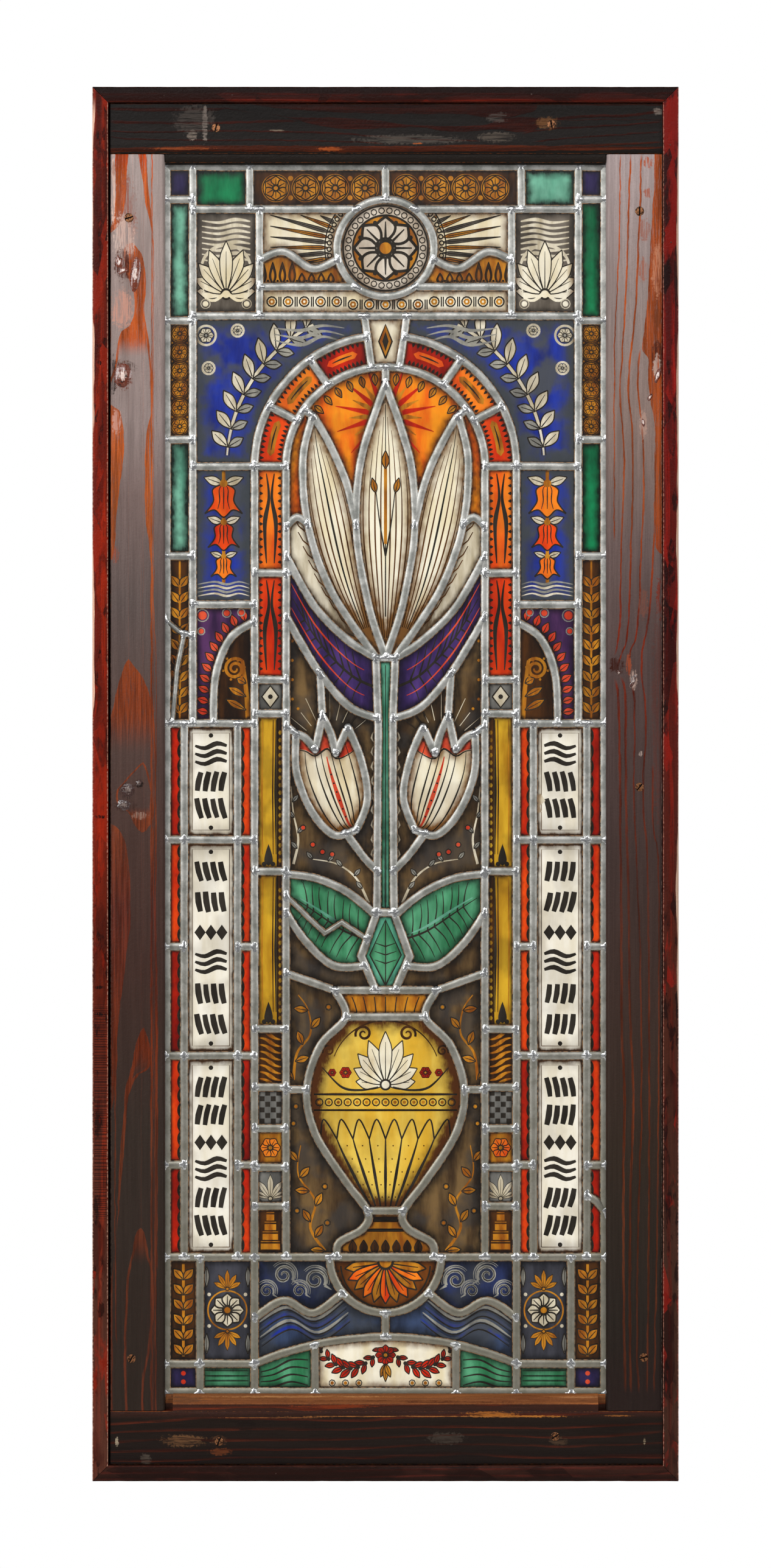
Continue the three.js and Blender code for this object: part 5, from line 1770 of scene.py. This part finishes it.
def dabs(dice, left, right, y, tall, paint):
    """One row of four blunt dabs of the brush, slanted alike."""
    shapes = []
    lean = dice.choice((-0.2, 0.15, 0.25))
    for k in range(4):
        x = left + (right - left) * (k + 0.5) / 4
        rise, thick = tall * dice.uniform(0.88, 1.0), dice.uniform(3.2, 3.7)
        spots = [(x - lean * rise / 2, y - rise / 2), (x + 0.5, y),
                 (x + lean * rise / 2, y + rise / 2)]
        shapes += stroke(curve(spots), paint, thick * 0.8, thick, thick * 0.85)
    return shapes


TALL_PANES = (552, 456, 278, 112)  # the leads over, between and under the three cream panes


def inscription_design(side):
    dice = random.Random(SEED + side)
    shapes = []
    for foot, head, inner, outer in ((456, 552, ember, red), (368, 456, ember, ember), (278, 368, ember, red),
                                     (188, 278, red, ember), (112, 188, ember, red)):
        shapes += block(COLUMN_OUT, foot, INSCRIPTION_IN, head, inner)
        shapes += block(INSCRIPTION_OUT, foot, EDGE_X, head, outer)
        shapes += scallops(INSCRIPTION_IN - 3, foot + 4, head - 4, -1)
        shapes += scallops(INSCRIPTION_OUT + 3, foot + 4, head - 4, 1)
    left, right = INSCRIPTION_IN + 3, INSCRIPTION_OUT - 3
    for head, foot in zip(TALL_PANES, TALL_PANES[1:]):
        foot, head = foot + 3, head - 3
        corners = [(left + 3.6, foot + 5), (right - 3.6, foot + 5), (right - 3.6, head - 5),
                   (left + 3.6, head - 5)]
        shapes += stroke(corners + corners[:1], brown, 0.35)
        rows = round((head - foot - 16) / 25)
        for k in range(rows):
            y = foot + 23 + (head - foot - 46) * k / (rows - 1)
            if k % 4 == 2:
                for rise in (-5.5, 1, 7.5):
                    shapes += stroke(curve([
                        (left + 6, y + rise), (left + 14, y + rise + 2), (left + 24, y + rise - 2),
                        (right - 6, y + rise)]), trace, 1.6, 3.0, 2.6, 1.4)
            elif k % 4 == 3:
                shapes += [([(x - 4.6, y), (x, y - 6.4), (x + 4.6, y), (x, y + 6.4)], trace)
                           for x in (left + 10, (left + right) / 2, right - 10)]
            else:
                shapes += dabs(dice, left + 6, right - 6, y, 17, trace)
        for y in (foot + 7, head - 7):
            shapes += disc((left + right) / 2, y, 1.9, trace)
    if side > 0:  # a chip at the edge, filled with white putty
        shapes += [([(123, 477), (129, 479), (127, 484), (132, 488), (128, 494), (123, 492)],
                    tulip_white)]
    return shapes


def inscription_shade(x, y):
    """Brown matt gathered along the top and the foot of each cream pane."""
    ends = np.min([np.abs(y - lead_y) for lead_y in TALL_PANES], axis=0)
    return 0.5 * np.clip(1 - ends / 15, 0, 1) * (np.abs(x - 144) < 22)


tulip_white = glass("tulip_white_glass", "f6efd8", "e4d2a8", "70481f", reach=6.5)
bone_cream = glass("bone_cream_glass", "fbf5e6", "e8dec6", "3c2410", reach=3.4, strength=1.1)
pair("inscription", bone_cream, inscription_design, inscription_shade)


# ---- Plinth -------------------------------------------------------------------------------
# Under the columns: two corner blocks of four panes, waves in two blues, a half shell of amber
# and a festoon on cream under a flat arch.
teal = glass("teal_glass", "6cb898", "3a8668", "12261e", reach=3.0)
slate_blue = glass("slate_blue_glass", "3c4c6c", "242e44", "1a1c20", reach=8.0, smoke=0.8,
                   wash="44484e")
night_blue = glass("night_blue_glass", "2a3560", "181e38", "0c0e14", reach=8.0, smoke=0.8,
                   wash="34373c")
leaf_green = glass("leaf_green_glass", "5ca87c", "2a7248", "0e1e14", reach=6.0)


def corner_design():
    shapes = block(CORNER_X, CORNER_Y, EDGE_X, PLINTH_HEAD, brown)
    shapes += block(COLUMN_OUT, EDGE_FOOT, CORNER_X, CORNER_Y, leaf_green)
    shapes += block(CORNER_X, EDGE_FOOT, EDGE_X, CORNER_Y, night_purple)
    x, y = (COLUMN_OUT + CORNER_X) / 2, (CORNER_Y + PLINTH_HEAD) / 2
    shapes += ring(x, y, 16, amber, 0.9) + rosette(x, y, 14, 8, pale_wash, amber)
    for i in (-1, 1):
        shapes += palmette(x, y + i * 17.5, 16, amber, 5, 32, 90 * i)
        for j in (-1, 1):
            shapes += disc(x + i * 15, y + j * 13, 1.6, pale_wash)
            shapes += petal((x + i * 17, y + j * 36), 90 * -j, 17, 4, grey_wash, trace)
    middle_x = half_way(CORNER_X, EDGE_X)
    shapes += stroke([(middle_x, 30), (middle_x, 106)], amber, 1.6)
    for k in range(6):
        for turn in (48, 132):
            shapes += petal((middle_x, 31 + 12.4 * k), turn, 12.5, 7, amber, trace, 0.55, 0.6)
    for k in range(4):
        shapes += stroke([(113, 5.5 + 4.2 * k), (149, 5.5 + 4.2 * k)], trace, 0.3, 0.9, 0.3)
    for k in range(2):
        shapes += disc(middle_x, 9 + 7 * k, 2.1, rose_red)
    return shapes


def festoon(start, end, sag, paint, count):
    """A swag of overlapping leaves between two pegs."""
    hang = [Vector((start[0] + (end[0] - start[0]) * t,
                    start[1] + (end[1] - start[1]) * t - sag * 4 * t * (1 - t)))
            for t in (k / (count - 1) for k in range(count))]
    shapes = []
    for k, spot in enumerate(hang):
        turn = bearing(hang[min(k + 1, count - 1)] - hang[max(k - 1, 0)])
        size = 7 + 5 * (1 - abs(2 * k / (count - 1) - 1))
        for lean in (-38, 38):
            shapes += petal(spot, turn + lean, size, size * 0.42, paint, trace, 0.6, 0.6)
        shapes += disc(*spot, 1.6, trace)
    return shapes


def garland_design():
    shapes = block(58, EDGE_FOOT, COLUMN_OUT, 46, leaf_green)
    shapes += festoon((4, 36), (53, 34), 15, red, 9)
    for k in range(4):
        shapes += stroke(curve([(64, 6 + 7 * k), (78, 9 + 6 * k), (92, 5 + 5 * k), (103, 5 + 4 * k)]),
                         trace, 0.4, 1.1, 0.4)
    shapes += ring(56, 36, 3.4, trace, 0.8)
    shapes = both(shapes) + rosette(0, 31, 8.5, 8, red, amber)
    for turn in (250, 270, 290):
        shapes += petal((0, 24), turn, 15 - abs(turn - 270) * 0.15, 4.4, amber, trace)
    for x in (-44, -33, -22, 22, 33, 44):
        shapes += disc(x, 8, 1.5, amber) + ring(x, 8, 2.6, trace, 0.5)
    return shapes


def waves_design():
    shapes = [([(0, 40), (COLUMN_OUT, 5)] + SHORE[::-1] + [(30, 90), (0, 66)], slate_blue)]
    for k in range(1, 5):
        lowered = even([Vector((p.x - 1.5 * k, p.y - 5.4 * k)) for p in SHORE], 24)
        shapes += stroke(lowered, grey_wash if k % 2 else cobalt, 0.6, 1.9, 1.2, 1.9, 0.6)
        shapes += stroke([spot - Vector((0, 2.2)) for spot in lowered], trace, 0.3, 0.8, 0.4, 0.8, 0.3)
    for x, y, size in ((58, 93, 9), (84, 97, 8.5), (71, 84, 6), (98, 84, 6)):
        curl, curled = crozier(x, y, size, 1.6, 210, grey_wash, -1)
        tail = curve([(x - size * 1.5, y - size * 0.9), curl[0]])
        shapes += curled + stroke(tail, grey_wash, 0.4, size * 0.2)
        shapes += stroke(curl[3::2], trace, 0.3, 0.7, 0.3)
        for lift in (1.5, 3.0):
            shapes += stroke(arc(x, y, size + lift, 200, 40), grey_wash, 0.3, 0.9, 0.3)
    return shapes


def shell_design():
    shapes = []
    for k in range(11):
        turn = 188 + 16.4 * k
        shapes += petal((0, 107), turn, 34, 8.6, orange if k % 2 else amber, trace, 0.72, 0.8)
    shapes += stroke(arc(0, 107, 37, 184, 356), trace, 0.9)
    for k in range(14):
        spot = arc(0, 107, 39.6, 190 + 12.3 * k, 0)[0]
        shapes += disc(*spot, 1.0, trace)
    return shapes + disc(0, 108, 7, trace) + disc(0, 108, 5, amber)


dark_block = glass("dark_block_glass", "484850", "2c2c32", "0e0e10", reach=5.0)
shell_brown = glass("shell_brown_glass", "8a4c14", "562c0a", "1c0e06", reach=5.0)
pair("corner", dark_block, corner_design())
pane("glass_garland", cream, garland_design())
pair("waves", night_blue, waves_design())
pane("glass_shell", shell_brown, shell_design())


# ---- Vase ---------------------------------------------------------------------------------
# A golden vase with a gadrooned foot, a band of beads and a fluted neck, on a brown wash with
# tendrils.
gold = glass("gold_glass", "f2d05a", "dfae30", "4c280c", reach=12.0, strength=1.1, streaky=0.05)
wash_brown = glass("wash_brown_glass", "7a5f3a", "3c2b1a", "140f0a", reach=8.0, smoke=0.7,
                   wash="3a3836")


def vase_design():
    other = mirrored(VASE_SIDE)
    shapes = block(-45, 108, 45, 150, amber) + block(-45, 310, 45, 336, amber)
    for share in (0.14, 0.26, 0.38, 0.5, 0.62, 0.74, 0.86):
        lobe = between(other, VASE_SIDE, share, 0.2, 0.48)
        shapes += stroke(lobe, trace, 0.8, 1.8, 0.7)
        beside = share + 0.06 * (1 if share < 0.5 else -1)
        for spot in between(other, VASE_SIDE, beside, 0.26, 0.44)[::2]:
            shapes += disc(*spot, 0.6, brown)
        shapes += stroke(between(other, VASE_SIDE, share, 0.9, 0.98), trace, 0.9, 0.5)
    for k in range(8):
        first, second = (between(other, VASE_SIDE, 0.02 + 0.12 * (k + j), 0.44, 0.52) for j in (0, 1))
        crest = (first[-1] + second[-1]) / 2 + Vector((0, 4))
        shapes += stroke(curve([first[1], crest, second[1]]), trace, 0.9)
    for y in (233, 246):
        shapes += stroke([(-59, y), (59, y)], trace, 0.9)
    for k in range(-7, 8):
        shapes += ring(7.8 * k, 239.5, 3.0, trace, 0.7) + disc(7.8 * k, 239.5, 1.4, amber)
    for hand in (-1, 1):
        for x, y, size in ((18, 296, 7), (47, 282, 5)):
            shapes += crozier(hand * x, y, size, 1.5, 200 if hand < 0 else -20, brown, hand)[1]
    shapes += stroke(arc(0, 262, 45, 20, 160), brown, 0.5, 1.0, 0.5)
    shapes += palmette(0, 254, 44, tulip_white, 9, 21)
    for hand in (-1, 1):
        for x, size in ((33, 5), (44, 3.4)):
            shapes += rosette(hand * x, 264, size, 6, red, amber)
        shapes += stroke(curve([(hand * 6, 252), (hand * 20, 249.5), (hand * 36, 252), (hand * 52, 268)]),
                         trace, 0.8, 1.4, 0.4)
    for k in range(-3, 4):
        shapes += petal((9 * k, 114), 90, 12, 6.4, brown, trace, 0.5)
    for y in (134, 142):
        shapes += stroke([(-24, y), (24, y)], trace, 1.0)
    return shapes


def vase_shade(x, y):
    """A soft shadow down each side of the belly."""
    return 0.42 * np.clip((np.abs(x) - 26) / 34, 0, 1) + 0.25 * np.clip((190 - y) / 60, 0, 1)


def vase_ground_design():
    shapes = []
    for points, leaves in (([(50, 117), (62, 136), (58, 158), (72, 180), (70, 204)], 7),
                           ([(76, 258), (73, 280), (62, 296), (64, 316), (72, 328)], 5)):
        line = even(curve(points), leaves + 1)
        shapes += stroke(curve(points), amber, 1.8, 1.2, 0.6)
        for k, spot in enumerate(line[:-1]):
            turn = bearing(line[k + 1] - spot) + (48 if k % 2 else -48)
            shapes += petal(spot, turn, 12.5, 6, amber, trace, 0.55, 0.6)
    for x, y in ((48, 140), (73, 150), (50, 170), (76, 222), (74, 236), (47, 318)):
        shapes += disc(x, y, 1.5, amber) + ring(x, y, 2.6, trace, 0.5)
    return shapes


pane("glass_vase", gold, vase_design(), vase_shade)
pair("vase_ground", wash_brown, vase_ground_design())


# ---- Leaves and tulips --------------------------------------------------------------------
# The middle of the panel: the stem, two broad leaves, two tulips and two dark leaves over them,
# on washed grounds. The tulips are cream flashed with rose.
grape = glass("grape_glass", "52387a", "2c1c4a", "120b1a", reach=7.0)


def stem_design():
    shapes = stroke([(0, 400), (0, 600)], trace, 0.6, 1.0, 0.4)
    for hand in (-1, 1):
        shapes += stroke([(hand * 2.6, 402), (hand * 2.2, 590)], leaf_green, 0.9, 0.5)
    facet = [(0, 336), (13, 361), (0, 390), (-13, 361)]
    shapes += [(facet, leaf_green)] + stroke(facet + facet[:1], trace, 0.8)
    shapes += stroke([(0, 337), (0, 389)], trace, 0.6)
    for y in (354, 361, 368):
        shapes += stroke([(-9, y + 3), (0, y), (9, y + 3)], trace, 0.3, 0.8, 0.3)
    return shapes


def lower_leaf_design():
    shapes = veins(LEAF_FOOT, LEAF_HEAD, 8)
    return shapes + stroke(between(LEAF_FOOT, LEAF_HEAD, 0.56, 0.05, 0.85), sea_green, 0.5, 1.8, 0.5)


TULIP_LEFT = curve([(24, 464), (15, 490), (20, 522), (31, 549)])


def tulip_design():
    tips = [(26, 530), (36, 524), (41, 524), (47, 532), (58, 526), (66, 530), (80, 532), (80, 560), (20, 560)]
    hem = curve([(24, 531), (33, 525), (41, 523), (48, 531), (58, 525), (66, 529), (75, 530)])
    shapes = [(tips, rose_red)] + stroke(hem, trace, 0.4, 1.1, 0.4)
    for share in (0.16, 0.32, 0.42, 0.58, 0.68, 0.84):
        shapes += stroke(between(TULIP_LEFT, TULIP_RIGHT, share, 0.06, 0.86), trace, 0.4, 1.0, 0.3)
    middle = between(TULIP_LEFT, TULIP_RIGHT, 0.5, 0.1, 0.78)
    shapes += stroke(middle, rose_red, 0.8, 2.6, 0.6)
    for spot in middle[6:24:3]:
        shapes += disc(*spot, 0.8, trace)
    return shapes


def tulip_shade(x, y):
    return 0.45 * np.clip((500 - y) / 40, 0, 1)


def stalk_ground_design():
    shapes = []
    for points in ([(14, 404), (24, 424), (40, 436), (60, 440)],
                   [(76, 436), (72, 456), (76, 478), (78, 500)]):
        line = even(curve(points), 6)
        shapes += stroke(curve(points), pale_wash, 1.6, 0.5)
        for k, spot in enumerate(line[1:]):
            shapes += petal(spot, 90 + (40 if k % 2 else -40), 8, 3.6, grey_wash, trace, 0.55, 0.5)
    for x, y in ((60, 452), (52, 446), (68, 466), (44, 444)):
        shapes += disc(x, y, 1.7, rose_red) + ring(x, y, 2.4, trace, 0.5)
    return shapes


def tulip_ground_design():
    shapes = []
    for k in range(9):
        run = heading(40 + 12.5 * k)
        foot = Vector((46, 530)) + run * 25
        shapes += stroke([foot, foot + run * (14 if k % 2 else 22)], pale_wash, 0.5, 1.4, 0.4)
        if k % 2:
            shapes += disc(*(foot + run * 18), 1.2, amber)
    for y in range(440, 548, 12):
        shapes += stroke(curve([(9, y), (11.5, y + 4), (10, y + 9)]), pale_wash, 0.4, 1.1, 0.4)
    for y in (572, 588, 604, 620):
        shapes += disc(77, y, 1.3, amber)
    return shapes


def dark_leaf_design():
    shapes = veins(DARK_FOOT, DARK_HEAD, 9, thick=1.1)
    for share in (0.3, 0.7):
        shapes += stroke(between(DARK_FOOT, DARK_HEAD, share, 0.1, 0.92), rose_red, 0.4, 1.0, 0.4)
    return shapes


pane("glass_stem", teal, stem_design())
pair("lower_leaf", leaf_green, lower_leaf_design())
pair("tulip", tulip_white, tulip_design(), tulip_shade)
pair("stalk_ground", wash_brown, stalk_ground_design())
pair("tulip_ground", wash_brown, tulip_ground_design())
pair("dark_leaf", grape, dark_leaf_design())


# ---- Lily ---------------------------------------------------------------------------------
# One middle petal and two pairs of side petals with fine brown lines, under the arch in front
# of a golden glow.
lily_cream = glass("lily_cream_glass", "fcf5de", "eedfb8", "70491f", reach=7.0, smoke=0.12)
glow_gold = glass("glow_gold_glass", "fa9a18", "ee5a08", "401606", reach=6.0)
fine_brown = glass("fine_brown_line", "6a4420", "4a2d14", "2e1c0e", opaque=0.8, strength=0.4)


def middle_petal_design():
    other = mirrored(LILY_MIDDLE)
    shapes = stroke([(0, 640), (0, 815)], trace, 0.8, 1.6, 0.4)
    for share in (0.12, 0.22, 0.32, 0.42, 0.58, 0.68, 0.78, 0.88):
        reach = 1 - 1.4 * abs(share - 0.5)
        shapes += stroke(between(other, LILY_MIDDLE, share, 0.08, 0.5 + 0.42 * reach),
                         fine_brown, 0.5, 0.9, 0.25)
    for hand in (-1, 1):
        shapes += stroke(curve([(0, 690), (hand * 4.5, 716), (hand * 8, 744)]), trace, 1.0, 0.5)
        shapes += petal((hand * 8, 742), 90 - hand * 14, 13, 5, amber, trace, 0.5, 0.6)
    shapes += stroke([(0, 700), (0, 764)], amber, 1.8)
    return shapes + petal((0, 762), 90, 15, 6, amber, trace, 0.5, 0.6)


def petal_shade(x, y):
    """Brown matt gathered in the throat of the flower."""
    return 0.75 * np.clip((675 - y) / 60, 0, 1) ** 1.3


def side_petals_design():
    inner = even(curve([(8, 606), (16, 655), (24, 716), (33, 752), (47, 784), (60, 806)]), 41)
    outer = LILY_OUTER[::-1]
    shapes = []
    for share in (0.14, 0.26, 0.38, 0.5, 0.62, 0.74, 0.86):
        shapes += stroke(between(inner, outer, share, 0.12, 0.94 - abs(share - 0.5) * 0.5),
                         trace if share == 0.5 else fine_brown, 0.5, 1.2 if share == 0.5 else 0.9, 0.25)
    rolled = curve([(60, 806), (68, 770), (64, 716), (45, 662), (20, 622)])
    shapes += [([(86, 820), *rolled, (82, 640), (90, 700)], pale_wash)]
    for spot in even(rolled, 17)[1:-1]:
        shapes += stroke([spot + Vector(step) for step in ((3.5, 0.5), (9, 5), (13, 12))],
                         fine_brown, 0.9, 0.5)
    return shapes


def glow_design():
    tip = Vector((0, 806))
    shapes = []
    for k in range(10):
        run = heading(-62 + 14.5 * k)
        shapes += stroke([tip + run * 14, tip + run * (30 + 12 * (k % 2))],
                         red if k % 2 else amber, 3.4, 1.6, 0.4)
    for k in range(7):
        turn = 32 + 8.5 * k
        shapes += petal(arch(77, turn, 0)[0], turn + 180, 10, 5, amber, trace, 0.5, 0.6)
    return shapes


pane("glass_middle_petal", lily_cream, middle_petal_design(), petal_shade)
pair("side_petals", lily_cream, side_petals_design(), petal_shade)
pair("glow", glow_gold, glow_design())
